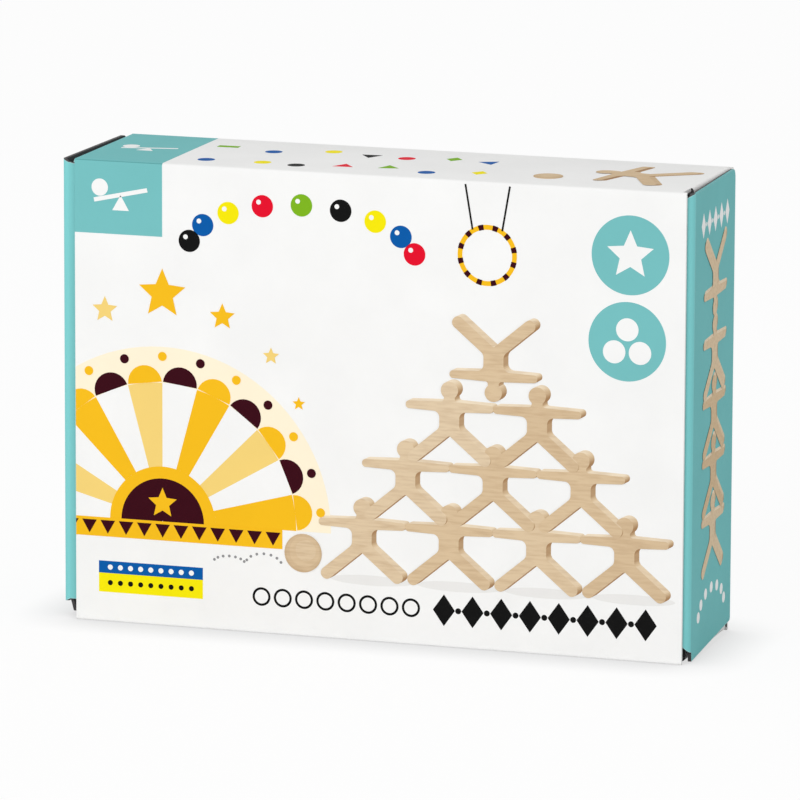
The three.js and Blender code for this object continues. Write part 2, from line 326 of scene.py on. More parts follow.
# %% [markdown]
# ## Beech
# The acrobats and the ball are bare, sanded beech. Beech is even and pale pink-brown, with soft
# growth bands and many short dark flecks that run with the grain. The bands are noise drawn out
# far along the grain, and the flecks are the high tops of a finer noise drawn out less.

# %% Wood finish
BEECH_PALE = "#e6cfaa"
BEECH_MID = "#dcbf95"
BEECH_DEEP = "#cfae80"
BEECH_FLECK = "#b08a5c"
BEECH_ROUGH = (0.52, 0.68)
BAND_SCALE, BAND_DRAWN = 330, 22
FLECK_SCALE, FLECK_DRAWN = 1500, 9
FLECK_SHARE = (0.8, 0.8, 0.8, 1)
PORE_STRENGTH = 0.25
PORE_DEPTH = 0.1 * MM


def grain(tree, scale, detail, drawn, along):
    """Noise that is drawn out along the axis of the grain."""
    return noise(tree, scale, detail, [1 / drawn if axis == along else 1 for axis in range(3)])


def beech_finish(name, along):
    """Sanded beech with its grain along one axis, 0 for X or 2 for Z."""
    made, tree, shader = new_finish(name)
    bands = grain(tree, BAND_SCALE, 4, BAND_DRAWN, along)
    tones = [(0.3, linear(BEECH_DEEP)), (0.48, linear(BEECH_MID)), (0.68, linear(BEECH_PALE))]
    tops = grain(tree, FLECK_SCALE, 2, FLECK_DRAWN, along)
    flecks = ramp(tree, tops, [(0.6, PURE_BLACK), (0.68, FLECK_SHARE)])
    base = mix(tree, flecks, ramp(tree, bands, tones), linear(BEECH_FLECK))
    tree.links.new(base, shader.inputs["Base Color"])
    tree.links.new(span(tree, bands, *BEECH_ROUGH), shader.inputs["Roughness"])
    pores = {"Height": flecks, "Strength": PORE_STRENGTH, "Distance": PORE_DEPTH}
    bump = node(tree, "Bump", pores, invert=True)
    tree.links.new(bump.outputs["Normal"], shader.inputs["Normal"])
    return made


acrobat_beech = beech_finish("acrobat_beech", along=2)
ball_beech = beech_finish("ball_beech", along=0)
print("beech for the acrobats and the ball")

# %% [markdown]
# ## Turning a bmesh into a piece
# A bmesh is a loose bag of corners and faces. To become a piece it is poured into a mesh, gets
# its finishes, and rides on the body that carries it. Board is drawn as a sheet with no
# thickness, and a Solidify modifier gives it one: the modifier can also hand the inner face and
# the cut rim to other finishes, which is just what printed board needs. The other helpers do
# what comes up again and again: they round edges and corners, draw flat shapes out into prisms,
# and pick corners or edges out of what an operator gives back.

# %% Helpers for pieces
PRINTED_FACE, RAW_INSIDE, CUT_RIM = range(3)
CORNER_STEPS = 6


def new_piece(name, bm, finishes):
    """A mesh object at the origin with the given finishes in its slots."""
    mesh = bpy.data.meshes.new(name)
    bm.to_mesh(mesh)
    bm.free()
    piece = bpy.data.objects.new(name, mesh)
    bpy.context.scene.collection.objects.link(piece)
    for finish in finishes:
        mesh.materials.append(finish)
    return piece


def settle(piece):
    """Makes the result of a piece's modifiers its own mesh."""
    graph = bpy.context.evaluated_depsgraph_get()
    done = bpy.data.meshes.new_from_object(piece.evaluated_get(graph))
    piece.modifiers.clear()
    piece.data = done


def board_piece(name, bm, face, thickness):
    """A sheet of board: a finish of its own outside, raw board inside and a raw cut rim."""
    piece = new_piece(name, bm, [face, inside_board, cut_edge])
    wall = piece.modifiers.new("board", "SOLIDIFY")
    wall.thickness = thickness
    wall.offset = -1
    wall.use_even_offset = True
    wall.material_offset = RAW_INSIDE
    wall.material_offset_rim = CUT_RIM
    settle(piece)
    return piece


def verts_of(parts):
    """The corners among the parts that an operator gives back."""
    return [part for part in parts if isinstance(part, bmesh.types.BMVert)]


def edges_of(parts):
    """The edges among the parts that an operator gives back."""
    return [part for part in parts if isinstance(part, bmesh.types.BMEdge)]


def draw_out(bm, way):
    """Draws the faces of a flat drawing out into prisms."""
    drawn = bmesh.ops.extrude_face_region(bm, geom=bm.faces[:])["geom"]
    bmesh.ops.translate(bm, verts=verts_of(drawn), vec=way)
    bmesh.ops.recalc_face_normals(bm, faces=bm.faces[:])


def face_towards(bm, direction):
    """Turns a flat or bent sheet round if its first face looks the wrong way."""
    bm.normal_update()
    bm.faces.ensure_lookup_table()
    if bm.faces[0].normal.dot(direction) < 0:
        bmesh.ops.reverse_faces(bm, faces=bm.faces[:])


def bevel(bm, parts, offset, steps, affect="EDGES"):
    """Rounds edges, or corners, in a number of steps."""
    return bmesh.ops.bevel(
        bm, geom=parts, offset=offset, offset_type="OFFSET", segments=steps, profile=0.5,
        affect=affect, material=-1,
    )


def round_corner(bm, corner, radius):
    """Rounds one corner of a flat face."""
    first, second = [edge.other_vert(corner).co - corner.co for edge in corner.link_edges]
    reach = radius / math.tan(first.angle(second) / 2)
    bevel(bm, [corner], reach, CORNER_STEPS, affect="VERTICES")


print("piece helpers ready")

# %% [markdown]
# ## The sleeve
# On the real carton the front, top, back, bottom and glue flap are one sheet, creased four
# times and stuck to itself. Five separate plates would show gaps at the creases. So the sleeve
# starts as a box with its ends taken off, its four long edges are rounded by a bevel, and one
# wall of board is grown inwards. The top and bottom panels stop short at both ends, where the
# dust flaps fold in. At the right end the white print goes round the pressed edges.

# %% Sleeve
CREASE_RADIUS = 1.2 * MM
CREASE_GAP = 0.3 * MM
ALIGNED = 0.99
front_low, front_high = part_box("front_panel")
top_low, top_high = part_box("top_panel")
BOARD = front_high.y - front_low.y
SETBACK = BOARD + CREASE_GAP
LENGTH = front_high.x - front_low.x
HEIGHT = front_high.z - front_low.z
DEPTH = -2 * front_low.y
panel_ends = {"right": top_high.x, "left": top_low.x}


def sleeve_skin():
    """The outer face of the sleeve: a tube along X with softly rounded creases."""
    bm = bmesh.new()
    bmesh.ops.create_cube(bm, size=1)
    bmesh.ops.scale(bm, vec=(LENGTH, DEPTH, HEIGHT), verts=bm.verts)
    bmesh.ops.translate(bm, vec=(0, 0, HEIGHT / 2), verts=bm.verts)
    ends = [face for face in bm.faces if abs(face.normal.x) > ALIGNED]
    bmesh.ops.delete(bm, geom=ends, context="FACES_ONLY")
    creases = [edge for edge in bm.edges if len(edge.link_faces) == 2]
    bevel(bm, creases, CREASE_RADIUS, steps=5)
    return bm


def cut_across(bm, point, normal, keep_all=False):
    """Cuts a sheet by a plane, and drops what lies on the normal's side unless all is kept."""
    everything = bm.verts[:] + bm.edges[:] + bm.faces[:]
    bmesh.ops.bisect_plane(
        bm, geom=everything, plane_co=point, plane_no=normal, clear_outer=not keep_all,
    )


def drop_faces(bm, chosen):
    """Deletes the faces that a test picks out, with the corners that they leave loose."""
    bm.normal_update()
    bmesh.ops.delete(bm, geom=[face for face in bm.faces if chosen(face)], context="FACES")


def past_panel_end(face):
    """Whether a level face lies beyond the ends of the top and bottom panels."""
    x = face.calc_center_median().x
    return abs(face.normal.z) > ALIGNED and not panel_ends["left"] < x < panel_ends["right"]


sleeve_bm = sleeve_skin()
for end in panel_ends.values():
    cut_across(sleeve_bm, (end, 0, 0), (1, 0, 0), keep_all=True)
drop_faces(sleeve_bm, past_panel_end)
sleeve = board_piece("sleeve", sleeve_bm, white_card, BOARD)
for face in sleeve.data.polygons:
    if face.material_index == CUT_RIM and face.center.x > 0:
        face.material_index = PRINTED_FACE
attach(sleeve, "carton")
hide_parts("front_panel", "back_panel", "top_panel", "bottom_panel")
print(f"sleeve with {len(sleeve.data.polygons)} faces")

# %% [markdown]
# ## The glue flap
# The sheet closes on a narrow flap under the top panel. It shows only when an end is open, and
# its two slanted ends are what tells it from a plain strip. It is one flat face with a board's
# thickness, unprinted like the rest of the inside.

# %% Glue flap
GLUE_TAPER = 5 * MM
flap_low, flap_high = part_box("glue_flap")


def glue_flap():
    """The flap as one tapered face, seen from below."""
    bm = bmesh.new()
    plan = [
        (flap_low.x, flap_high.y), (flap_low.x + GLUE_TAPER, flap_low.y),
        (flap_high.x - GLUE_TAPER, flap_low.y), (flap_high.x, flap_high.y),
    ]
    bm.faces.new([bm.verts.new((x, y, flap_low.z)) for x, y in plan])
    face_towards(bm, Vector((0, 0, -1)))
    return board_piece("glue_strip", bm, inside_board, flap_high.z - flap_low.z)


glue_strip = glue_flap()
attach(glue_strip, "carton")
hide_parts("glue_flap")
print("glue strip under the top panel")

# %% [markdown]
# ## Where the tuck flaps run
# Each end closes with a teal flap that is hinged on the back panel. Neither flap is quite shut,
# so neither stands square to the panel. Angles copied by hand could be wrong, so the line of
# each flap is read from its joints: it runs from the hinge to the axis where the lip starts to
# roll. Places on a flap are then given from its hinge: outwards, forwards and up.

# %% Flap lines
SIDES = {"right": 1, "left": -1}
UP = Vector((0, 0, 1))


class FlapLine(NamedTuple):
    """Where a tuck flap runs: its hinge, the way to its front, its outward side and its reach."""
    hinge: Vector
    along: Vector
    outward: Vector
    reach: float

    def point(self, out, forward, height):
        """A point given from the hinge line: outwards, forwards and up."""
        return self.hinge + self.outward * out + self.along * forward + UP * height


def flap_line(side):
    """Reads a flap's line from its two joints."""
    hinge = Vector(joints[f"{side}_flap_open"]["pos_m"])
    roll = Vector(joints[f"{side}_lip_relax"]["pos_m"])
    hinge.z = roll.z = 0
    along = (roll - hinge).normalized()
    outward = along.cross(UP) * -SIDES[side]
    return FlapLine(hinge, along, outward, (roll - hinge).length)


for side in SIDES:
    print(f"{side} flap reaches {flap_line(side).reach / MM:.1f} mm from its hinge")

# %% [markdown]
# ## Tuck flaps with their lips
# A tuck flap rolls over at the front and tucks its lip behind the front panel. Flap, roll and
# lip are one sheet, so they are modelled as one: a flat face, an edge of it spun about the
# roll's axis, and that edge drawn on as the lip. The lip is narrower than the flap, so the ends
# of the roll slant from one to the other. The right flap was pressed hard when it was cut, so
# the print goes round its upper edge, which a bevel makes. The left one shows its raw edge.

# %% Tuck flaps
ROLL_RADIUS = 3.2 * MM
ROLL_STEPS = 12
LIP_LEAN = math.radians(9)
LIP_LENGTH = 12 * MM
LIP_CORNER = 7 * MM
LIP_TOP = {"right": HEIGHT - 2.6 * MM, "left": HEIGHT - 2 * MM}
LIP_FALL = {"right": 0, "left": 3 * MM}
LIP_FOOT = {"right": 7.5 * MM, "left": 8.2 * MM}
FLAP_STEP = {"right": 0.4 * MM, "left": 4.5 * MM}
FLAP_CUT = {"right": 0.4 * MM, "left": 3.5 * MM}
FLAP_FOOT_RISE = 4 * MM
FLAP_FOOT_CORNER = 1 * MM
FLAP_TOP = HEIGHT - CREASE_GAP
FLAP_TOP_CORNER = 3 * MM
PRESSED_EDGE = 0.8 * MM


def slant_ends(bm, line, side):
    """Slides the ends of the roll from the flap's front edge to the narrower lip."""
    for vert in bm.verts:
        behind = (line.hinge - vert.co).dot(line.outward) / ROLL_RADIUS
        goal = LIP_TOP[side] if vert.co.z > HEIGHT / 2 else LIP_FOOT[side]
        slide = min(1, max(0, behind)) * (goal - vert.co.z)
        bmesh.ops.translate(bm, verts=[vert], vec=UP * slide)


def press_upper_edge(piece, line):
    """Rounds the long upper edge of a flap's printed face, so that the print goes over it."""
    bm = bmesh.new()
    bm.from_mesh(piece.data)
    upper = [
        edge for edge in bm.edges
        if edge.calc_length() > line.reach / 2
        and min(vert.co.z for vert in edge.verts) > HEIGHT / 2
        and {face.material_index for face in edge.link_faces} == {PRINTED_FACE, CUT_RIM}
    ]
    for face in bevel(bm, upper, PRESSED_EDGE, steps=4)["faces"]:
        face.material_index = PRINTED_FACE
    bm.to_mesh(piece.data)
    bm.free()


def tuck_sheet(side):
    """Flap, roll and lip of one end as one bent sheet of board."""
    line = flap_line(side)
    low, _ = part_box(f"{side}_tuck_flap")
    lip_low, lip_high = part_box(f"{side}_tuck_lip")
    bm = bmesh.new()
    roll_highlight_mark = bm.verts.layers.float.new("rolled")
    step = line.reach - FLAP_STEP[side]
    outline = [
        (SETBACK, low.z + FLAP_FOOT_RISE), (step - FLAP_CUT[side], low.z), (step, lip_low.z),
        (line.reach, lip_low.z), (line.reach, lip_high.z), (SETBACK, FLAP_TOP),
    ]
    corners = [bm.verts.new(line.point(0, forward, height)) for forward, height in outline]
    bm.faces.new(corners)
    rolled = bmesh.ops.spin(
        bm, geom=[bm.edges.get((corners[3], corners[4]))], axis=UP,
        cent=line.point(-ROLL_RADIUS, line.reach, 0), steps=ROLL_STEPS,
        angle=-SIDES[side] * (math.pi / 2 + LIP_LEAN),
    )
    slant_ends(bm, line, side)
    roll_end = edges_of(rolled["geom_last"])
    lip_start = roll_end[0].verts[0].co.copy()
    lip_corners = verts_of(bmesh.ops.extrude_edge_only(bm, edges=roll_end)["geom"])
    inward = line.outward * -math.cos(LIP_LEAN) - line.along * math.sin(LIP_LEAN)
    bmesh.ops.translate(bm, verts=lip_corners, vec=inward * LIP_LENGTH)
    upper = max(lip_corners, key=lambda corner: corner.co.z)
    bmesh.ops.translate(bm, verts=[upper], vec=UP * -LIP_FALL[side])
    for vert in bm.verts:
        # Marks the roll, whose print gets a painted highlight.
        vert[roll_highlight_mark] = (vert.co - line.hinge).dot(line.along) > line.reach + CREASE_GAP / 2
    bmesh.ops.recalc_face_normals(bm, faces=bm.faces[:])
    for corner in lip_corners:
        round_corner(bm, corner, LIP_CORNER)
    round_corner(bm, corners[0], FLAP_FOOT_CORNER)
    round_corner(bm, corners[5], FLAP_TOP_CORNER)
    face_towards(bm, line.outward)
    piece = board_piece(f"{side}_tuck_sheet", bm, teal_card, BOARD)
    if side == "right":
        press_upper_edge(piece, line)
    roll_start = line.point(0, line.reach, lip_start.z)
    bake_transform(piece)
    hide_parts(f"{side}_tuck_flap", f"{side}_tuck_lip")
    return piece


for side in SIDES:
    print(f"{side} tuck sheet with {len(tuck_sheet(side).data.polygons)} faces")

# %% [markdown]
# ## Dust flaps
# Behind each tuck flap two short dust flaps fold in from the top and bottom panels. Their free
# corners are rounded and one side tapers, so that the tuck flap slides past. Each is one flat
# face with two rounded corners and a board's thickness. The print runs on from the panel, so
# the one beside the teal corner is teal and the others are white.

# %% Dust flaps
DUST_TAPER = math.radians(24)
DUST_CORNER = 4 * MM


def dust_print(side, level):
    """The printed card of the panel that a dust flap folds from."""
    return teal_card if (side, level) == ("left", "top") else white_card


def dust_flap(side, level):
    """One dust flap, drawn in the plane of its outer face."""
    node_name = f"{side}_{level}_dust_flap"
    low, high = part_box(node_name)
    outer = high.x if side == "right" else low.x
    crease, tip = (high.z, low.z) if level == "top" else (low.z, high.z)
    taper = (high.z - low.z) * math.tan(DUST_TAPER)
    bm = bmesh.new()
    outline = [(low.y, crease), (low.y, tip), (high.y - taper, tip), (high.y, crease)]
    corners = [bm.verts.new((outer, y, z)) for y, z in outline]
    bm.faces.new(corners)
    for corner in corners[1:3]:
        round_corner(bm, corner, DUST_CORNER)
    face_towards(bm, Vector((SIDES[side], 0, 0)))
    piece = board_piece(f"{side}_{level}_dust_sheet", bm, dust_print(side, level), BOARD)
    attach(piece, node_name)
    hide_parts(node_name)


for side in SIDES:
    for level in ("top", "bottom"):
        dust_flap(side, level)
print("4 dust flaps")

# %% [markdown]
# ## Creases that bend
# A crease is the board itself, pressed thin. Where a flap turns on the sleeve, a narrow strip
# goes round from one to the other. It is made by spinning an edge a quarter turn and pressing
# the arc to the right width. The teal strip of the top runs on to the front corner, as a narrow
# shoulder in front of its dust flap. The white one starts further back, where a relief cut lets
# the corner fold, and the dark inside shows through that cut.

# %% Crease strips
PRESSED = 0.8 * MM
CREASE_STEPS = 8
RELIEF_CUT = 13 * MM
CREASE_FRONTS = {
    ("left", "top"): CREASE_RADIUS - DEPTH / 2,
    ("right", "top"): RELIEF_CUT - DEPTH / 2,
}


def crease_strip(name, first, second, centre, axis, turn, squeeze, finish, swapped=False):
    """An edge spun a quarter turn about a centre and pressed."""
    bm = bmesh.new()
    edge = bm.edges.new([bm.verts.new(first), bm.verts.new(second)])
    middle = (first + second) / 2 - centre
    spun = bmesh.ops.spin(bm, geom=[edge], axis=axis, cent=centre, steps=CREASE_STEPS, angle=turn)
    bmesh.ops.translate(bm, verts=bm.verts, vec=-centre)
    bmesh.ops.scale(bm, vec=squeeze, verts=bm.verts)
    bmesh.ops.translate(bm, verts=bm.verts, vec=centre)
    face_towards(bm, middle)
    piece = board_piece(name, bm, finish, PRESSED)
    if swapped:
        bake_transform(piece)
    else:
        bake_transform(piece)
    return piece


def tuck_crease(side):
    """The strip from the back panel's end to the straight stretch of the tuck flap's edge."""
    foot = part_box(f"{side}_tuck_flap")[0].z + FLAP_FOOT_RISE + FLAP_FOOT_CORNER
    head = FLAP_TOP - FLAP_TOP_CORNER
    sign = SIDES[side]
    hinge = Vector(joints[f"{side}_flap_open"]["pos_m"])
    end_x = sign * LENGTH / 2
    centre = Vector((end_x, hinge.y - SETBACK, hinge.z))
    crease_strip(
        f"{side}_tuck_crease", Vector((end_x, hinge.y, foot)), Vector((end_x, hinge.y, head)),
        centre, UP, -sign * math.pi / 2, (abs(hinge.x - end_x) / SETBACK, 1, 1),
        teal_card, swapped=side == "left",
    )


def dust_crease(side, level):
    """The strip from the top or bottom panel's end to a dust flap."""
    low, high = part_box(f"{side}_{level}_dust_flap")
    sign = SIDES[side]
    up = 1 if level == "top" else -1
    hinge = Vector(joints[f"{side}_{level}_dust_open"]["pos_m"])
    end_x = panel_ends[side]
    front_y = CREASE_FRONTS.get((side, level), low.y)
    centre = Vector((end_x, 0, hinge.z - up * SETBACK))
    front, rear = Vector((end_x, front_y, hinge.z)), Vector((end_x, high.y, hinge.z))
    piece = crease_strip(
        f"{side}_{level}_dust_crease", front, rear, centre, Vector((0, 1, 0)),
        sign * up * math.pi / 2, (abs(hinge.x - end_x) / SETBACK, 1, 1),
        dust_print(side, level),
    )
    for face in piece.data.polygons:
        if face.center.y < low.y - BOARD:
            face.material_index = PRINTED_FACE


for side in SIDES:
    tuck_crease(side)
    for level in ("top", "bottom"):
        dust_crease(side, level)
print("6 crease strips")

# %% [markdown]
# ## The acrobat's outline
# All ten acrobats, and every printed picture of one, come from one outline: arms level, legs
# astride and a round head. The body is a few corners in turn, the head is a vertex spun about
# its centre, and a vertex bevel rounds each corner by its own radius. The outline is drawn
# once, in millimetres about the middle of the arms, and kept as a mesh to stamp from.

# %% Acrobat outline
HEAD_RADIUS = 9.5
HEAD_RISE = 17.5
HEAD_TOP = HEAD_RISE + HEAD_RADIUS
HEAD_STEPS = 30
NECK_HALF = 6
NECK_FILLET = 3
ARM_REACH = 48.25
ARM_ROOT = 5.5
ARM_TIP = 4
ARM_END = 3.8
ARMPIT = 7
WAIST_HALF = 11
HIP_FILLET = 7
CROTCH_DROP = 31
CROTCH_FILLET = 2
SOLE_DROP = 62
LEG_WIDTH = 13
LEG_SLOPE = math.radians(40)
FOOT_RADIUS = 6.2


def arm_half(x):
    """Half the arm's width at a distance from the middle."""
    share = (x - NECK_HALF) / (ARM_REACH - NECK_HALF)
    return ARM_ROOT + (ARM_TIP - ARM_ROOT) * share


def right_side():
    """The corners of the right half from neck to crotch, each with its radius."""
    run = Vector((math.cos(LEG_SLOPE), -math.sin(LEG_SLOPE)))
    across = Vector((math.sin(LEG_SLOPE), math.cos(LEG_SLOPE)))
    crotch = Vector((0, -CROTCH_DROP))
    foot_drop = SOLE_DROP - FOOT_RADIUS - CROTCH_DROP + across.y * FOOT_RADIUS
    leg_end = crotch + run * (foot_drop / math.sin(LEG_SLOPE) + FOOT_RADIUS)
    hip = crotch + across * LEG_WIDTH + run * ((WAIST_HALF - across.x * LEG_WIDTH) / run.x)
    neck_y = HEAD_RISE - math.sqrt(HEAD_RADIUS**2 - NECK_HALF**2)
    return [
        (NECK_HALF, neck_y, 0),
        (NECK_HALF, arm_half(NECK_HALF), NECK_FILLET),
        (ARM_REACH, ARM_TIP, ARM_END),
        (ARM_REACH, -ARM_TIP, ARM_END),
        (WAIST_HALF, -arm_half(WAIST_HALF), ARMPIT),
        (*hip, HIP_FILLET),
        (*(leg_end + across * LEG_WIDTH), FOOT_RADIUS),
        (*leg_end, FOOT_RADIUS),
    ]


def acrobat_outline():
    """The whole outline as one flat face."""
    right = right_side()
    left = [(-x, y, radius) for x, y, radius in reversed(right)]
    places = right + [(0, -CROTCH_DROP, CROTCH_FILLET)] + left
    bm = bmesh.new()
    corners = [bm.verts.new((x, y, 0)) for x, y, _ in places]
    gap = 2 * math.asin(NECK_HALF / HEAD_RADIUS)
    bmesh.ops.spin(
        bm, geom=[corners[-1]], axis=(0, 0, -1), cent=(0, HEAD_RISE, 0), steps=HEAD_STEPS,
        angle=2 * math.pi - gap,
    )
    bm.verts.ensure_lookup_table()
    head = bm.verts[len(corners) :]
    bmesh.ops.delete(bm, geom=[head[-1]], context="VERTS")
    bm.faces.new(corners + head[:-1])
    for corner, (_, _, radius) in zip(corners, places):
        if radius:
            round_corner(bm, corner, radius)
    face_towards(bm, UP)
    mesh = bpy.data.meshes.new("acrobat_outline")
    bm.to_mesh(mesh)
    bm.free()
    return mesh


outline_mesh = acrobat_outline()
print(f"outline of {len(outline_mesh.vertices)} points")

# %% [markdown]
# ## Ten wooden acrobats and a ball
# Each acrobat is sawn from flat stock. The outline is stood up, drawn out to the stock's
# thickness and its sharp rims are eased by a bevel, as sanding does. The ball is a turned
# sphere with a small flat at each end, where the lathe held it.

# %% Acrobats and ball
EASED = 0.8 * MM
RIM_TURN = math.radians(60)
BALL_FLAT = 0.35 * MM


def wooden_acrobat(name):
    """One acrobat, standing where its solid stands."""
    low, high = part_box(name)
    middle = (low + high) / 2
    arms = low.z + SOLE_DROP * MM
    stand = Matrix.Translation((middle.x, high.y, arms)) @ Matrix.Rotation(math.pi / 2, 4, "X")
    bm = bmesh.new()
    bm.from_mesh(outline_mesh)
    bmesh.ops.scale(bm, vec=(MM, MM, MM), verts=bm.verts)
    bmesh.ops.transform(bm, matrix=stand, verts=bm.verts)
    draw_out(bm, (0, low.y - high.y, 0))
    rims = [edge for edge in bm.edges if edge.calc_face_angle(0) > RIM_TURN]
    bevel(bm, rims, EASED, steps=3)
    piece = new_piece(f"{name}_wood", bm, [acrobat_beech])
    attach(piece, name)
    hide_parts(name)


def wooden_ball():
    """The turned ball, with its two small flats along X."""
    low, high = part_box("ball")
    middle = (low + high) / 2
    radius = (high.z - low.z) / 2
    bm = bmesh.new()
    turn = Matrix.Translation(middle) @ Matrix.Rotation(math.pi / 2, 4, "Y")
    bmesh.ops.create_uvsphere(bm, u_segments=64, v_segments=40, radius=radius, matrix=turn)
    for way in (-1, 1):
        cut_across(bm, middle + Vector((way * (radius - BALL_FLAT), 0, 0)), (way, 0, 0))
        rim = [edge for edge in bm.edges if edge.is_boundary]
        bmesh.ops.holes_fill(bm, edges=rim)
    bmesh.ops.recalc_face_normals(bm, faces=bm.faces[:])
    piece = new_piece("ball_wood", bm, [ball_beech])
    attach(piece, "ball")
    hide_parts("ball")


acrobats = sorted(name for name in frame["nodes"] if name.startswith("acrobat"))
for name in acrobats:
    wooden_acrobat(name)
wooden_ball()
print(f"{len(acrobats)} wooden acrobats and a ball")

# %% [markdown]
# ## Printing on the panels
# The print could be drawn by a shader, but its edges would then be soft and it would be lost
# without that shader. Here each ink is a film a few hundredths of a millimetre thick, cut to
# shape and laid on its panel, as screen printing lays it. A drawing is made flat in
# millimetres, u to the right and v up, and a panel's matrix stands it on the carton. Inks that
# lie over others are laid in higher layers.

# %% Panels and ink films
FILM = 0.035


class Panel(NamedTuple):
    """A printed face: the body that carries it and the matrix from its drawing to the frame."""
    body: str
    place: Matrix


def panel(body, origin, right, up):
    """A panel whose drawing starts at origin, with u and v along the two directions."""
    outward = right.cross(up)
    columns = Matrix((right * MM, up * MM, outward * MM)).transposed().to_4x4()
    return Panel(body, Matrix.Translation(origin) @ columns)


def flap_panel(side):
    """A tuck flap's face, with u from the middle of its width."""
    line = flap_line(side)
    middle = line.point(0, (SETBACK + line.reach) / 2, 0)
    return panel(f"{side}_tuck_flap", middle, line.along * -SIDES[side], UP)


X_AXIS = Vector((1, 0, 0))
FRONT = panel("carton", Vector((0, -DEPTH / 2, 0)), X_AXIS, UP)
BACK = panel("carton", Vector((0, DEPTH / 2, 0)), -X_AXIS, UP)
TOP = panel("carton", Vector((0, 0, HEIGHT)), X_AXIS, Vector((0, 1, 0)))
FLAPS = {side: flap_panel(side) for side in SIDES}


def lay_ink(name, bm, finish, on, layer=1):
    """Gives a flat drawing the thickness of its layer and lays it on a panel."""
    draw_out(bm, (0, 0, FILM * layer))
    bmesh.ops.transform(bm, matrix=on.place, verts=bm.verts)
    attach(new_piece(name, bm, [finish]), on.body)


print("panels: front, back, top and two flaps")

# %% [markdown]
# ## A small box of shapes
# Packaging art is built from plain shapes. Each helper adds one shape to a flat drawing with
# the operator that fits it: a capped circle for a disc, a spun edge for a ring or an arc, a
# circle with every second point drawn in for a star.

# %% Shapes
STAR_POINTS = 5
STAR_WAIST = 0.46


def spot(u, v):
    """A place in a drawing as a matrix."""
    return Matrix.Translation((u, v, 0))


def disc(bm, u, v, radius, steps=40, squash=1):
    """A filled circle, or an upright or flat ellipse."""
    place = spot(u, v) @ Matrix.Diagonal((1, squash, 1, 1))
    bmesh.ops.create_circle(bm, cap_ends=True, segments=steps, radius=radius, matrix=place)


def diamond(bm, u, v, half_width, half_height):
    """A lozenge that stands on its point."""
    place = spot(u, v) @ Matrix.Diagonal((1, half_height / half_width, 1, 1))
    bmesh.ops.create_circle(bm, cap_ends=True, segments=4, radius=half_width, matrix=place)


def polygon(bm, points):
    """A face through a few points."""
    bm.faces.new([bm.verts.new((u, v, 0)) for u, v in points])


def bar(bm, start, end, width):
    """A straight stroke."""
    first, last = Vector(start), Vector(end)
    run = last - first
    side = Vector((-run.y, run.x)).normalized() * (width / 2)
    polygon(bm, [first - side, last - side, last + side, first + side])


def arc(bm, u, v, inner, outer, start, turn, steps):
    """A band round a centre, from a start angle through a turn, both in degrees."""
    way = Vector((math.cos(math.radians(start)), math.sin(math.radians(start)), 0))
    centre = Vector((u, v, 0))
    edge = bm.edges.new([bm.verts.new(centre + way * inner), bm.verts.new(centre + way * outer)])
    bmesh.ops.spin(
        bm, geom=[edge], cent=centre, axis=UP, angle=math.radians(turn), steps=steps,
        use_merge=turn == 360,
    )


def star(bm, u, v, radius):
    """A star: a circle of corners, every second one drawn in to the centre."""
    made = bmesh.ops.create_circle(
        bm, cap_ends=True, segments=2 * STAR_POINTS, radius=radius, matrix=spot(u, v),
    )
    drawn_in = (STAR_WAIST, STAR_WAIST, 1)
    bmesh.ops.scale(bm, vec=drawn_in, verts=made["verts"][1::2], space=spot(-u, -v))


def triangle(bm, u, v, radius, turn=0):
    """An even triangle."""
    place = spot(u, v) @ Matrix.Rotation(math.radians(turn), 4, "Z")
    bmesh.ops.create_circle(bm, cap_ends=True, segments=3, radius=radius, matrix=place)


print("shapes: disc, diamond, polygon, bar, arc, star and triangle")

# %% [markdown]
# ## Wood in print
# A printed picture of wood needs a lighter or darker tone for each side of a piece. An ink for
# every tone would make many finishes, so each face of a picture carries its shade as a number
# from 0 to 1, and one wood ink reads it. Fine dark lines of printed grain lie over the tones.

# %% Wood ink
PICTURE_DARK = "#a5815c"
PICTURE_MID = "#d8bf9c"
PICTURE_PALE = "#eedfc6"
PICTURE_GRAIN = 900
GRAIN_STRETCH = (0.12, 1, 1)
GRAIN_SHARE = (0.3, 0.3, 0.3, 1)


def wood_picture():
    """An ink that turns each face's shade into a wood tone, with printed grain over it."""
    made, tree, shader = new_finish("wood_picture")
    shade = node(tree, "Attribute", {}, attribute_name="shade").outputs["Fac"]
    tones = [(0, linear(PICTURE_DARK)), (0.6, linear(PICTURE_MID)), (1, linear(PICTURE_PALE))]
    lines = noise(tree, PICTURE_GRAIN, detail=4, stretch=GRAIN_STRETCH)
    drawn = ramp(tree, lines, [(0.42, PURE_BLACK), (0.72, GRAIN_SHARE)])
    base = mix(tree, drawn, ramp(tree, shade, tones), linear(PICTURE_DARK))
    tree.links.new(base, shader.inputs["Base Color"])
    laminate(tree, shader)
    return made


wood_ink = wood_picture()
print("wood ink")

# %% [markdown]
# ## Pictures of the acrobats
# The panels show what is inside: small pictures of the wooden acrobats, seen a little from the
# right and from above. Each is stamped from the outline and drawn out, and its front is then
# slid along one slanting direction, so that the walls fan out as the sides of a thick board.
# Walls that look up are lighter and walls that look down are darker. Each picture lies a hair
# higher than the one before, so that none shares a plane with its neighbour.

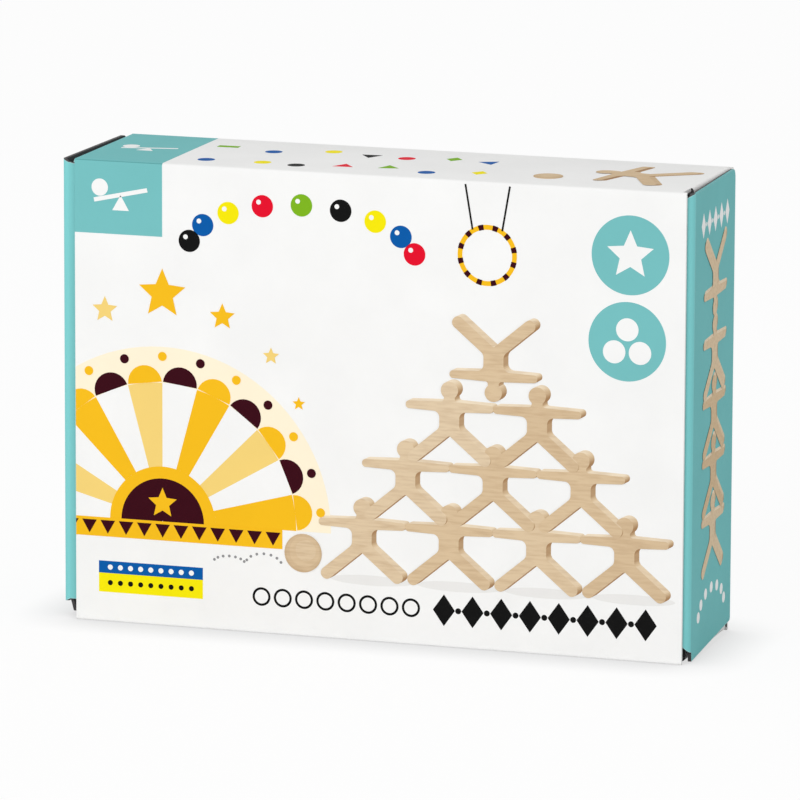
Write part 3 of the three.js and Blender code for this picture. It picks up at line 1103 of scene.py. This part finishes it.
# %% Printed acrobats
SIDE_SLANT = Vector((5.2, 2.8))
PICTURE_LIFT = 5 * FILM
FRONT_SHADE = 0.62
FRONT_LUCK = 0.1
WALL_SHADE = 0.18
WALL_CONTRAST = 0.75
FLAT = 1e-4
BALL_SHADES = ((1, 0, 0.44), (0.93, 0.03, 0.52), (0.8, 0.08, 0.59), (0.55, 0.15, 0.65))
BALL_LAYER = 8
BALL_LAYER_RISE = 10
FOOT_SHARE = 0.8
STEP_UP = SOLE_DROP + arm_half(ARM_REACH * FOOT_SHARE)
STEP_ASIDE = 2 * ARM_REACH


class Troupe:
    """A group of printed acrobats on one panel."""

    def __init__(self, name, on):
        self.name = name
        self.on = on
        self.bm = bmesh.new()
        self.bm.faces.layers.float.new("shade")
        self.luck = random.Random(name)
        self.lift = PICTURE_LIFT

    def add(self, u, v, size, turn=0):
        """One acrobat about the middle of its arms, turned in degrees."""
        one = bmesh.new()
        one.from_mesh(outline_mesh)
        shade = one.faces.layers.float.new("shade")
        turned = Matrix.Rotation(math.radians(turn), 4, "Z") @ Matrix.Scale(size, 4)
        slant = SIDE_SLANT * size
        back = spot(u + slant.x, v + slant.y) @ turned
        bmesh.ops.transform(one, matrix=back, verts=one.verts)
        draw_out(one, (-slant.x, -slant.y, self.lift))
        tone = FRONT_SHADE + self.luck.uniform(-FRONT_LUCK, FRONT_LUCK)
        for face in one.faces:
            facing = face.normal.xy
            wall = max(0, WALL_SHADE + WALL_CONTRAST * facing.normalized().y)
            face[shade] = tone if facing.length < FLAT else wall
        self.gather(one)
        self.lift += FILM / 2

    def gather(self, one):
        """Takes one finished picture into the group."""
        carrier = bpy.data.meshes.new("picture")
        one.to_mesh(carrier)
        one.free()
        self.bm.from_mesh(carrier)
        bpy.data.meshes.remove(carrier)

    def ball(self, u, v, radius):
        """A printed wooden ball: smaller and paler discs, shifted up to the right."""
        for shrink, shift, shade in BALL_SHADES:
            bm = bmesh.new()
            mark = bm.faces.layers.float.new("shade")
            disc(bm, u + shift * radius, v + shift * radius, radius * shrink)
            for face in bm.faces:
                face[mark] = shade
            layer = BALL_LAYER + BALL_LAYER_RISE * shift
            lay_ink(f"{self.name}_ball_{round(100 * shade)}", bm, wood_ink, self.on, layer)

    def lay(self):
        """Prints the group."""
        bmesh.ops.transform(self.bm, matrix=self.on.place, verts=self.bm.verts)
        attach(new_piece(self.name, self.bm, [wood_ink]), self.on.body)


def pyramid(troupe, u, v, rows, size):
    """Rows of acrobats on each other's arms. The top one stands on its head."""
    for level in range(rows):
        count = rows - level
        for i in range(count):
            across = u + (i - (count - 1) / 2) * STEP_ASIDE * size
            height = v + (SOLE_DROP + level * STEP_UP) * size
            if count > 1:
                troupe.add(across, height, size)
            else:
                upturned = height + (HEAD_TOP - SOLE_DROP + ARM_TIP) * size
                troupe.add(across, upturned, size, turn=180)


print("stamp for printed acrobats")

# %% [markdown]
# ## The teal corner
# One corner of the front is teal, and the colour runs on over the crease and across the top. A
# flat film would break at the crease, so this one is cut from the sleeve's own skin: three
# planes trim it, and the film grows outwards from it. Pressing the crease has left a slightly
# darker line in the ink, which is the middle strip of the same skin.

# %% Teal corner
CORNER_RIGHT = -92 * MM
CORNER_BOTTOM = 162.6 * MM
PRESSED_TEAL = "#5fa0a1"
SIGN_U, SIGN_SIZE = -110, 1.05
SIGN_ON_FRONT, SIGN_ON_TOP = 179, 0
WEDGE_R, WEDGE_DROP = 4, 4.2
PLANK_HALF, PLANK_TILT, PLANK_WIDTH = 11, 2.4, 1.7
WEIGHT_R, WEIGHT_ASIDE, WEIGHT_RISE = 3.4, 8.6, 2.6


def skin_film(name, bm, finish, layer):
    """A film of ink that grows outwards from a piece of the sleeve's skin."""
    piece = new_piece(name, bm, [finish])
    film = piece.modifiers.new("film", "SOLIDIFY")
    film.thickness = FILM * MM * layer
    film.offset = 1
    settle(piece)
    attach(piece, "carton")


def teal_corner():
    """The teal film over the corner of the front and the end of the top."""
    bm = sleeve_skin()
    cut_across(bm, (CORNER_RIGHT, 0, 0), (1, 0, 0))
    cut_across(bm, (panel_ends["left"], 0, 0), (-1, 0, 0), keep_all=True)
    cut_across(bm, (0, 0, CORNER_BOTTOM), (0, 0, -1))
    back_start = DEPTH / 2 - CREASE_RADIUS
    drop_faces(bm, lambda face: face.calc_center_median().y > back_start or past_panel_end(face))
    skin_film("front_teal_corner", bm, inks["teal"], layer=1)


def pressed_line():
    """The darker line along the upper front crease."""
    bm = sleeve_skin()
    cut_across(bm, (CORNER_RIGHT, 0, 0), (1, 0, 0))
    slanting = Vector((0, -1, 1)).normalized()
    drop_faces(bm, lambda face: face.normal.dot(slanting) < ALIGNED)
    skin_film("front_pressed_line", bm, printed("pressed_teal", PRESSED_TEAL), layer=2)


def balance_sign(name, on, v):
    """A plank on a wedge with a ball at one end."""
    bm = bmesh.new()
    triangle(bm, 0, -WEDGE_DROP, WEDGE_R)
    bar(bm, (-PLANK_HALF, -PLANK_TILT), (PLANK_HALF, PLANK_TILT), PLANK_WIDTH)
    disc(bm, -WEIGHT_ASIDE, WEIGHT_RISE, WEIGHT_R)
    bmesh.ops.transform(bm, matrix=spot(SIGN_U, v) @ Matrix.Scale(SIGN_SIZE, 4), verts=bm.verts)
    lay_ink(name, bm, inks["white"], on, layer=3)


teal_corner()
pressed_line()
balance_sign("front_corner_sign", FRONT, SIGN_ON_FRONT)
balance_sign("top_corner_sign", TOP, SIGN_ON_TOP)
print("teal corner over the crease")

# %% [markdown]
# ## The sunburst
# The left of the front carries a large gold ornament. It is a plain show-time sunburst: striped
# rays round a half disc, a scalloped rim, pearls and stars. Each ray is an edge spun by the
# ray's angle, each scallop is one spun by half a turn, the inks alternate, and a plane trims
# what would run over the panel's edge.

# %% Sunburst
SUN_LAYERS = dict(cream=1, gold=2, straw=2, white=2, maroon=3)
SUN_U, SUN_V = -92, 44
RAYS = 12
RAY_TURN = 180 / RAYS
HUB, RAY_START, RAY_END, SCALLOP = 18, 23, 58, 7.4
GLOW = RAY_END + 15
PINHOLE, SCALLOP_PINHOLE = 0.2, 0.1
PANEL_LEFT = -129.9


def sunburst_inks():
    """The sunburst's drawings by ink. Half discs are arcs that leave a pinhole."""
    parts = {ink: bmesh.new() for ink in SUN_LAYERS}
    arc(parts["cream"], SUN_U, SUN_V, PINHOLE, GLOW, 0, 180, steps=48)
    for ray in range(RAYS):
        start = ray * RAY_TURN
        ink = ("gold", "white", "straw", "white")[ray % 4]
        arc(parts[ink], SUN_U, SUN_V, RAY_START, RAY_END, start, RAY_TURN, steps=6)
        middle = math.radians(start + RAY_TURN / 2)
        rim_u = SUN_U + RAY_END * math.cos(middle)
        rim_v = SUN_V + RAY_END * math.sin(middle)
        ink = "maroon" if ray % 2 else "gold"
        side = start + RAY_TURN / 2 - 90
        arc(parts[ink], rim_u, rim_v, SCALLOP_PINHOLE, SCALLOP, side, 180, steps=14)
    arc(parts["maroon"], SUN_U, SUN_V, PINHOLE, HUB, 0, 180, steps=32)
    arc(parts["gold"], SUN_U, SUN_V, HUB, RAY_START, 0, 180, steps=32)
    return parts


def trimmed(bm):
    """Cuts a front drawing off at the panel's left edge."""
    cut_across(bm, (PANEL_LEFT, 0, 0), (-1, 0, 0))
    return bm


for ink, bm in sunburst_inks().items():
    lay_ink(f"front_sunburst_{ink}", trimmed(bm), inks[ink], FRONT, SUN_LAYERS[ink])
print(f"sunburst of {RAYS} rays")

# %% [markdown]
# ## What sparkles round it
# Stars and pearls stand over the sunburst, a star sits in its half disc, and a plinth with a
# row of dark triangles carries it. Small things like these are grouped by ink, so that each ink
# is one piece.

# %% Stars, pearls and plinth
PEARLS = 13
PEARL_R = 1.9
PEARL_RING = RAY_END + 11
STARS = [(-92, 139, 10.5), (-117, 131, 5.6), (-66, 131, 5.6), (-45, 116, 3.6), (-33, 97, 2.8)]
HUB_STAR_RISE, HUB_STAR_R = 7.6, 6.5
PLINTH_HALF, PLINTH_LOW, PLINTH_BLOCKS = 52, 36, 13
BLOCK = 2 * PLINTH_HALF / PLINTH_BLOCKS
DART_SIDE, DART_END = 0.8, 1.2
SPARKLE_LAYERS = dict(gold=4, maroon=5, straw=4)


def sparkle_inks():
    """Stars, pearls and plinth by ink."""
    parts = {ink: bmesh.new() for ink in SPARKLE_LAYERS}
    for i in range(PEARLS):
        way = math.pi * (i + 0.5) / PEARLS
        u = SUN_U + PEARL_RING * math.cos(way)
        v = SUN_V + PEARL_RING * math.sin(way)
        disc(parts["maroon" if i % 2 else "gold"], u, v, PEARL_R, steps=24)
    for i, (u, v, radius) in enumerate(STARS):
        star(parts["straw" if i % 2 else "gold"], u, v, radius)
    star(parts["gold"], SUN_U, SUN_V + HUB_STAR_RISE, HUB_STAR_R)
    high, tip = SUN_V - DART_END, PLINTH_LOW + DART_END
    for i in range(PLINTH_BLOCKS):
        left = SUN_U - PLINTH_HALF + i * BLOCK
        right = left + BLOCK
        brick = [(left, PLINTH_LOW), (right, PLINTH_LOW), (right, SUN_V), (left, SUN_V)]
        polygon(parts["gold"], brick)
        dart = [(left + DART_SIDE, high), ((left + right) / 2, tip), (right - DART_SIDE, high)]
        polygon(parts["maroon"], dart)
    return parts


for ink, bm in sparkle_inks().items():
    lay_ink(f"front_sparkle_{ink}", trimmed(bm), inks[ink], FRONT, SPARKLE_LAYERS[ink])
print(f"{len(STARS)} stars and {PEARLS} pearls")

# %% [markdown]
# ## Juggled balls
# A row of bright balls flies in an arc over the front. The balls have five colours and stand
# along half an ellipse. A white glint makes each disc a ball.

# %% Juggled balls
JUGGLE = ("black", "blue", "yellow", "red", "green", "black", "yellow", "blue", "red")
FRONT_ARC = dict(u=-32, v=158, width=98, rise=21, radius=4.6)
GLINT_SHIFT, GLINT_SIZE = 0.35, 0.22


def juggled_arc(name, on, u, v, width, rise, radius):
    """Balls along a flat arc, with a glint on each."""
    parts = {ink: bmesh.new() for ink in JUGGLE}
    glints = bmesh.new()
    shift = radius * GLINT_SHIFT
    for i, ink in enumerate(JUGGLE):
        way = math.pi * (1 - (i + 0.5) / len(JUGGLE))
        ball_u = u + width / 2 * math.cos(way)
        ball_v = v + rise * math.sin(way)
        disc(parts[ink], ball_u, ball_v, radius)
        disc(glints, ball_u - shift, ball_v + shift, radius * GLINT_SIZE, steps=20)
    for ink, bm in parts.items():
        lay_ink(f"{name}_{ink}", bm, inks[ink], on, layer=2)
    lay_ink(f"{name}_glints", glints, inks["white"], on, layer=3)


juggled_arc("front_juggling", FRONT, **FRONT_ARC)
print(f"{len(JUGGLE)} juggled balls")

# %% [markdown]
# ## The printed pyramid
# The middle of the front shows ten acrobats in a human pyramid. Soft grey ellipses put it on
# the ground, and a wooden ball comes bouncing along a dotted path.

# %% Pyramid on the front
PYRAMID_U, PYRAMID_V, PYRAMID_ROWS = 50, 25, 4
PYRAMID_SIZE = 0.385
SHADOW_ASIDE, SHADOW_RISE = 4, 0.6
SHADOW_SHARE, SHADOW_SQUASH = 0.47, 0.12
BALL_U, BALL_V, BALL_R = -31, 35, 8
PATH_HOPS = [(-70, 14, 3), (-56, 16, 5)]
PATH_V, PATH_DOTS, PATH_DOT_R = 28.5, 8, 0.6


def ground_shadow():
    """Pale ellipses under the feet of the lowest row."""
    bm = bmesh.new()
    step = STEP_ASIDE * PYRAMID_SIZE
    for i in range(PYRAMID_ROWS):
        u = PYRAMID_U + SHADOW_ASIDE + (i - (PYRAMID_ROWS - 1) / 2) * step
        disc(bm, u, PYRAMID_V + SHADOW_RISE, step * SHADOW_SHARE, steps=48, squash=SHADOW_SQUASH)
    lay_ink("front_ground_shadow", bm, inks["mist"], FRONT)


def ball_path():
    """Dots along two hops of the ball."""
    bm = bmesh.new()
    for start, width, rise in PATH_HOPS:
        for i in range(1, PATH_DOTS):
            way = math.pi * (1 - i / PATH_DOTS)
            u = start + width / 2 * (1 + math.cos(way))
            disc(bm, u, PATH_V + rise * math.sin(way), PATH_DOT_R, steps=12)
    lay_ink("front_ball_path", bm, inks["grey"], FRONT)


ground_shadow()
front_troupe = Troupe("front_pyramid", FRONT)
pyramid(front_troupe, PYRAMID_U, PYRAMID_V, PYRAMID_ROWS, PYRAMID_SIZE)
front_troupe.ball(BALL_U, BALL_V, BALL_R)
front_troupe.lay()
ball_path()
print(f"pyramid of {PYRAMID_ROWS} rows and a bouncing ball")

# %% [markdown]
# ## Ornaments in black, badges and label
# A black band of rings and lozenges runs along the foot of the front. Two teal badges at the
# right hold plain white signs, and a small label has a blue and a yellow half with a row of
# dots in each.

# %% Band, badges and label
BAND_V = 15.5
RINGS, RING_LEFT, RING_STEP = 8, -49, 9.2
RING_INNER, RING_OUTER = 2.9, 3.9
LOZENGES, LOZENGE_LEFT, LOZENGE_STEP = 8, 29.5, 12.2
LOZENGE_HALVES = (4.7, 6.6)
LOZENGE_DOT_R = 1.25
STAR_BADGE, BALLS_BADGE = (107, 166.5), (106, 131.3)
BADGE_R = 16.2
BADGE_STAR_R, BADGE_BALL_R = 10.2, 4.7
BADGE_BALLS = ((-5.4, -4.4), (5.4, -4.4), (0, 4.9))
LABEL_LEFT, LABEL_RIGHT = -120, -74.5
LABEL_LOW, LABEL_MIDDLE, LABEL_HIGH = 12.6, 20.6, 25.7
LABEL_DOTS, LABEL_MARGIN, LABEL_DOT_R = 9, 5, 1.1


def foot_band():
    """Open rings on the left, bold lozenges and dots on the right."""
    bm = bmesh.new()
    for i in range(RINGS):
        arc(bm, RING_LEFT + i * RING_STEP, BAND_V, RING_INNER, RING_OUTER, 0, 360, steps=36)
    for i in range(LOZENGES):
        diamond(bm, LOZENGE_LEFT + i * LOZENGE_STEP, BAND_V, *LOZENGE_HALVES)
    for i in range(LOZENGES - 1):
        disc(bm, LOZENGE_LEFT + (i + 0.5) * LOZENGE_STEP, BAND_V, LOZENGE_DOT_R, steps=24)
    lay_ink("front_foot_band", bm, inks["black"], FRONT)


def badges():
    """Two teal discs with white signs."""
    discs, signs = bmesh.new(), bmesh.new()
    for u, v in (STAR_BADGE, BALLS_BADGE):
        disc(discs, u, v, BADGE_R, steps=72)
    star(signs, *STAR_BADGE, BADGE_STAR_R)
    for u, v in BADGE_BALLS:
        disc(signs, BALLS_BADGE[0] + u, BALLS_BADGE[1] + v, BADGE_BALL_R)
    lay_ink("front_badges", discs, inks["teal"], FRONT)
    lay_ink("front_badge_signs", signs, inks["white"], FRONT, layer=2)


def label_half(ink, dot_ink, low, high):
    """One half of the label with its row of dots."""
    half, dots = bmesh.new(), bmesh.new()
    polygon(half, [(LABEL_LEFT, low), (LABEL_RIGHT, low), (LABEL_RIGHT, high), (LABEL_LEFT, high)])
    step = (LABEL_RIGHT - LABEL_LEFT - 2 * LABEL_MARGIN) / (LABEL_DOTS - 1)
    for i in range(LABEL_DOTS):
        disc(dots, LABEL_LEFT + LABEL_MARGIN + i * step, (low + high) / 2, LABEL_DOT_R, steps=20)
    lay_ink(f"front_label_{ink}", half, inks[ink], FRONT)
    lay_ink(f"front_label_{ink}_rule", dots, inks[dot_ink], FRONT, layer=2)


foot_band()
badges()
label_half("yellow", "black", LABEL_LOW, LABEL_MIDDLE)
label_half("blue", "white", LABEL_MIDDLE, LABEL_HIGH)
print("foot band, badges and label")

# %% [markdown]
# ## The hoop
# A gold hoop hangs from the top edge on two ropes. Its maroon ribbons are short arcs that lie
# over the gold and stand out from it by a hair on both sides, as a wound ribbon does.

# %% Hoop
HOOP_U, HOOP_V, HOOP_R = 47, 163, 12.5
HOOP_WIDTH = 2
RIBBONS, RIBBON_START, RIBBON_TURN = 12, 8, 11
RIBBON_OVER = 0.1
ROPE_WAYS = (60, 120)
ROPE_SPREAD, ROPE_TOP, ROPE_OVERLAP, ROPE_WIDTH = 1.5, 191.6, 0.6, 0.75


def hoop():
    """A gold hoop with maroon ribbons on two black ropes."""
    gold, ribbons, ropes = bmesh.new(), bmesh.new(), bmesh.new()
    inner = HOOP_R - HOOP_WIDTH
    arc(gold, HOOP_U, HOOP_V, inner, HOOP_R, 0, 360, steps=72)
    low, high = inner - RIBBON_OVER, HOOP_R + RIBBON_OVER
    for i in range(RIBBONS):
        start = i * 360 / RIBBONS + RIBBON_START
        arc(ribbons, HOOP_U, HOOP_V, low, high, start, RIBBON_TURN, steps=4)
    for way in ROPE_WAYS:
        rim_u = math.cos(math.radians(way)) * HOOP_R
        rim_v = math.sin(math.radians(way)) * HOOP_R
        top = (HOOP_U + rim_u * ROPE_SPREAD, ROPE_TOP)
        bar(ropes, top, (HOOP_U + rim_u, HOOP_V + rim_v - ROPE_OVERLAP), ROPE_WIDTH)
    lay_ink("front_hoop", gold, inks["gold"], FRONT)
    lay_ink("front_hoop_ribbons", ribbons, inks["maroon"], FRONT, layer=2)
    lay_ink("front_hoop_ropes", ropes, inks["black"], FRONT, layer=3)


hoop()
print(f"hoop with {RIBBONS} ribbons")

# %% [markdown]
# ## The top panel
# Small bright shapes are strewn over the top, and one acrobat lies at its right end with the
# ball beside it. Each shape gets a cell of its own and a little luck within it, from a seed, so
# that they never touch and always fall the same way.

# %% Top panel
CONFETTI = ("blue", "red", "yellow", "green", "black")
CONFETTI_SEED = 7
CONFETTI_CELLS, CONFETTI_ROWS = 7, 2
CONFETTI_LEFT, CONFETTI_WIDTH, CONFETTI_DEPTH = -86, 130, 58
CELL_MARGIN = 0.25
STREWN_KINDS = 4
STREWN_DISC_R, STREWN_TRIANGLE_R = 3.6, 5
STREWN_BAR_HALF, STREWN_BAR_WIDTH = 4.6, 4
STREWN_DIAMOND = (3.4, 4.6)
TOP_ACROBAT = dict(u=92, v=2, size=0.42, turn=75)
TOP_BALL = dict(u=66, v=-14, radius=6)


def strewn(luck, bm, u, v, kind):
    """One small shape of the kind that comes up."""
    if kind == 0:
        disc(bm, u, v, STREWN_DISC_R, steps=28)
    elif kind == 1:
        triangle(bm, u, v, STREWN_TRIANGLE_R, luck.uniform(0, 120))
    elif kind == 2:
        lean = luck.uniform(-1, 1)
        bar(bm, (u - STREWN_BAR_HALF, v - lean), (u + STREWN_BAR_HALF, v + lean), STREWN_BAR_WIDTH)
    else:
        diamond(bm, u, v, *STREWN_DIAMOND)


def in_cell(luck, cell, cells):
    """A place in a cell, away from its edges, as a share of the whole row of cells."""
    return (cell + luck.uniform(CELL_MARGIN, 1 - CELL_MARGIN)) / cells


def confetti():
    """Shapes strewn over the top panel by ink."""
    luck = random.Random(CONFETTI_SEED)
    parts = {ink: bmesh.new() for ink in CONFETTI}
    for column in range(CONFETTI_CELLS):
        for row in range(CONFETTI_ROWS):
            u = CONFETTI_LEFT + in_cell(luck, column, CONFETTI_CELLS) * CONFETTI_WIDTH
            v = (in_cell(luck, row, CONFETTI_ROWS) - 0.5) * CONFETTI_DEPTH
            ink = CONFETTI[(2 * column + 3 * row) % len(CONFETTI)]
            strewn(luck, parts[ink], u, v, luck.randrange(STREWN_KINDS))
    for ink, bm in parts.items():
        lay_ink(f"top_confetti_{ink}", bm, inks[ink], TOP)


confetti()
top_troupe = Troupe("top_acrobat", TOP)
top_troupe.add(**TOP_ACROBAT)
top_troupe.ball(**TOP_BALL)
top_troupe.lay()
print(f"{CONFETTI_CELLS * CONFETTI_ROWS} strewn shapes and an acrobat on the top")

# %% [markdown]
# ## The teal ends
# Each tuck flap shows a tall tower of acrobats between a white row of lozenges and a white arc
# of balls. On the right one more acrobat stands head to head on the top one.

# %% Ends
TOWER = 4
TOWER_SIZE = 0.37
TOWER_FOOT = 31
END_ROW_V, END_STEP = 177, 9.5
END_LOZENGES, END_LOZENGE_HALVES = 5, (3.2, 5.2)
END_DOT_R = 0.9
END_ARC = dict(balls=7, half_width=21, foot=14, rise=11, radius=2.3)


def end_row(bm):
    """Lozenges in a row with dots between them."""
    for i in range(END_LOZENGES):
        diamond(bm, (i - (END_LOZENGES - 1) / 2) * END_STEP, END_ROW_V, *END_LOZENGE_HALVES)
    for i in range(END_LOZENGES - 1):
        disc(bm, (i - (END_LOZENGES - 2) / 2) * END_STEP, END_ROW_V, END_DOT_R, steps=20)


def end_arc(bm, balls, half_width, foot, rise, radius):
    """Balls along half an ellipse."""
    for i in range(balls):
        way = math.pi * (i + 0.5) / balls
        disc(bm, half_width * math.cos(way), foot + rise * math.sin(way), radius, steps=28)


def end_tower(side):
    """Acrobats on each other's arms, with one more head to head on the right."""
    troupe = Troupe(f"{side}_end_tower", FLAPS[side])
    for level in range(TOWER):
        arms = TOWER_FOOT + (SOLE_DROP + level * (SOLE_DROP + ARM_TIP)) * TOWER_SIZE
        troupe.add(0, arms, TOWER_SIZE)
    if side == "right":
        troupe.add(0, arms + 2 * HEAD_TOP * TOWER_SIZE, TOWER_SIZE, turn=180)
    troupe.lay()


for side in SIDES:
    white_bm = bmesh.new()
    end_row(white_bm)
    end_arc(white_bm, **END_ARC)
    lay_ink(f"{side}_end_white", white_bm, inks["white"], FLAPS[side])
    end_tower(side)
print(f"two towers of {TOWER} acrobats")

# %% [markdown]
# ## The back
# The photograph does not show the back, so it is kept modest: a teal foot with white lozenges,
# three ways of stacking the acrobats on pale discs, and one more arc of juggled balls.

# %% Back
BACK_FOOT_HALF, BACK_FOOT_LOW, BACK_FOOT_HIGH = 129.8, 2, 30
BACK_LOZENGES, BACK_LOZENGE_STEP, BACK_LOZENGE_HALVES = 19, 13, (3.6, 6)
BACK_DISCS = (-84, 0, 84)
BACK_DISC_V, BACK_DISC_R = 104, 37
STACK_SIZE, STACK_FOOT, STACK_ASIDE = 0.3, 78, 16
BACK_ARC = dict(u=0, v=156, width=150, rise=20, radius=4.2)


def back_ground():
    """The foot band with its lozenges, and the pale discs."""
    foot, white, pale = bmesh.new(), bmesh.new(), bmesh.new()
    half, low, high = BACK_FOOT_HALF, BACK_FOOT_LOW, BACK_FOOT_HIGH
    polygon(foot, [(-half, low), (half, low), (half, high), (-half, high)])
    for i in range(BACK_LOZENGES):
        u = (i - (BACK_LOZENGES - 1) / 2) * BACK_LOZENGE_STEP
        diamond(white, u, (low + high) / 2, *BACK_LOZENGE_HALVES)
    for u in BACK_DISCS:
        disc(pale, u, BACK_DISC_V, BACK_DISC_R, steps=80)
    lay_ink("back_foot", foot, inks["teal"], BACK)
    lay_ink("back_foot_lozenges", white, inks["white"], BACK, layer=2)
    lay_ink("back_discs", pale, inks["cream"], BACK)


def back_stacks():
    """A small pyramid, two acrobats head to head, and one that stands on two."""
    troupe = Troupe("back_stacks", BACK)
    left, middle, right = BACK_DISCS
    arms = STACK_FOOT + SOLE_DROP * STACK_SIZE
    pyramid(troupe, left, STACK_FOOT, 2, STACK_SIZE)
    troupe.add(middle, arms, STACK_SIZE)
    troupe.add(middle, arms + 2 * HEAD_TOP * STACK_SIZE, STACK_SIZE, turn=180)
    for way in (-1, 1):
        troupe.add(right + way * STACK_ASIDE, arms, STACK_SIZE)
    troupe.add(right, arms + (SOLE_DROP + ARM_TIP) * STACK_SIZE, STACK_SIZE)
    troupe.lay()


back_ground()
back_stacks()
juggled_arc("back_juggling", BACK, **BACK_ARC)
print(f"back with {len(BACK_DISCS)} stacks")

# %% [markdown]
# ## Floor and light
# The picture has a white ground, an almost white front, a slightly greyer top and a clearly
# darker right side. An even white sky gives the base level, so that colours come out as they
# are written, and one large soft lamp from the front left adds the difference between the
# sides. Where the floor is looked at, straight or in a reflection, it is lifted towards white,
# and soft bounces still get its true paint. It keeps a little of the lamp's shadow, and an
# Ambient Occlusion node darkens it where the carton stands close by.

# %% Floor, sky and lamp
FLOOR_SIZE = 30
FLOOR_PAINT = "#f9f9f9"
FLOOR_LIFT = 0.9
CONTACT_REACH = 26 * MM
CONTACT_GREY = "#e1e1e1"
CONTACT_FULL = 0.45
SKY_LEVEL = 0.72
LAMP_WAY = Vector((-0.22, -0.84, 0.5)).normalized()
LAMP_DISTANCE = 4
LAMP_SIZE = 2.2
LAMP_POWER = 53


def camera_look(tree):
    """1 for what is looked at, straight, mirrored or through glass, and 0 for soft bounces."""
    path = node(tree, "LightPath", {})
    seen = path.outputs["Is Camera Ray"]
    for way in ("Is Glossy Ray", "Is Transmission Ray"):
        seen = node(tree, "Math", {0: seen, 1: path.outputs[way]}, operation="MAXIMUM").outputs[0]
    return seen


def floor():
    """A wide pale floor under the carton."""
    bm = bmesh.new()
    bmesh.ops.create_grid(bm, x_segments=1, y_segments=1, size=FLOOR_SIZE / 2)
    made, tree, _ = new_finish("pale_floor")
    paint = node(tree, "BsdfDiffuse", {"Color": linear(FLOOR_PAINT)}).outputs[0]
    nearby = node(tree, "AmbientOcclusion", {"Distance": CONTACT_REACH}, samples=24).outputs["AO"]
    contact = ramp(tree, nearby, [(CONTACT_FULL, linear(CONTACT_GREY)), (1, PURE_WHITE)])
    lift = node(tree, "Emission", {"Color": contact, "Strength": 1}).outputs[0]
    looked_at = {0: camera_look(tree), 1: FLOOR_LIFT}
    share = node(tree, "Math", looked_at, operation="MULTIPLY").outputs[0]
    shader = node(tree, "MixShader", {0: share, 1: paint, 2: lift}).outputs[0]
    tree.links.new(shader, tree.nodes["Material Output"].inputs["Surface"])
    new_piece("floor", bm, [made])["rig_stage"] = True


def sky():
    """An even white sky: white where it is looked at, and the base light elsewhere."""
    world = bpy.data.worlds.new("sky")
    world.use_nodes = True
    bpy.context.scene.world = world
    tree = world.node_tree
    level = span(tree, camera_look(tree), SKY_LEVEL, 1)
    tree.links.new(level, tree.nodes["Background"].inputs["Strength"])
    tree.nodes["Background"].inputs["Color"].default_value = PURE_WHITE


def lamp():
    """One large soft lamp from the front left."""
    light = bpy.data.lights.new("soft_lamp", "AREA")
    light.size = LAMP_SIZE
    light.energy = LAMP_POWER
    holder = bpy.data.objects.new("soft_lamp", light)
    bpy.context.scene.collection.objects.link(holder)
    holder.location = CAMERA_TARGET + LAMP_WAY * LAMP_DISTANCE
    holder.rotation_euler = (-LAMP_WAY).to_track_quat("-Z", "Y").to_euler()


floor()
sky()
lamp()
bpy.context.scene.view_settings.view_transform = "Standard"
print("floor, sky and lamp")

# %% [markdown]
# ## Smooth where round
# Flat panels keep flat shading. Round stretches, such as creases, rolls and the ball, should
# not show their facets, so faces that meet at a small angle are shaded as one.

# %% Shading
SMOOTH_ANGLE = math.radians(32)


def shade(piece):
    """Smooth shading, with the edges that turn sharply marked sharp."""
    mesh = piece.data
    mesh.shade_smooth()
    mesh.set_sharp_from_angle(angle=SMOOTH_ANGLE)


dressed = [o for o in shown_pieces() if o.type == "MESH" and "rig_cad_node" not in o]
for piece in dressed:
    shade(piece)
print(f"{len(dressed)} pieces shaded")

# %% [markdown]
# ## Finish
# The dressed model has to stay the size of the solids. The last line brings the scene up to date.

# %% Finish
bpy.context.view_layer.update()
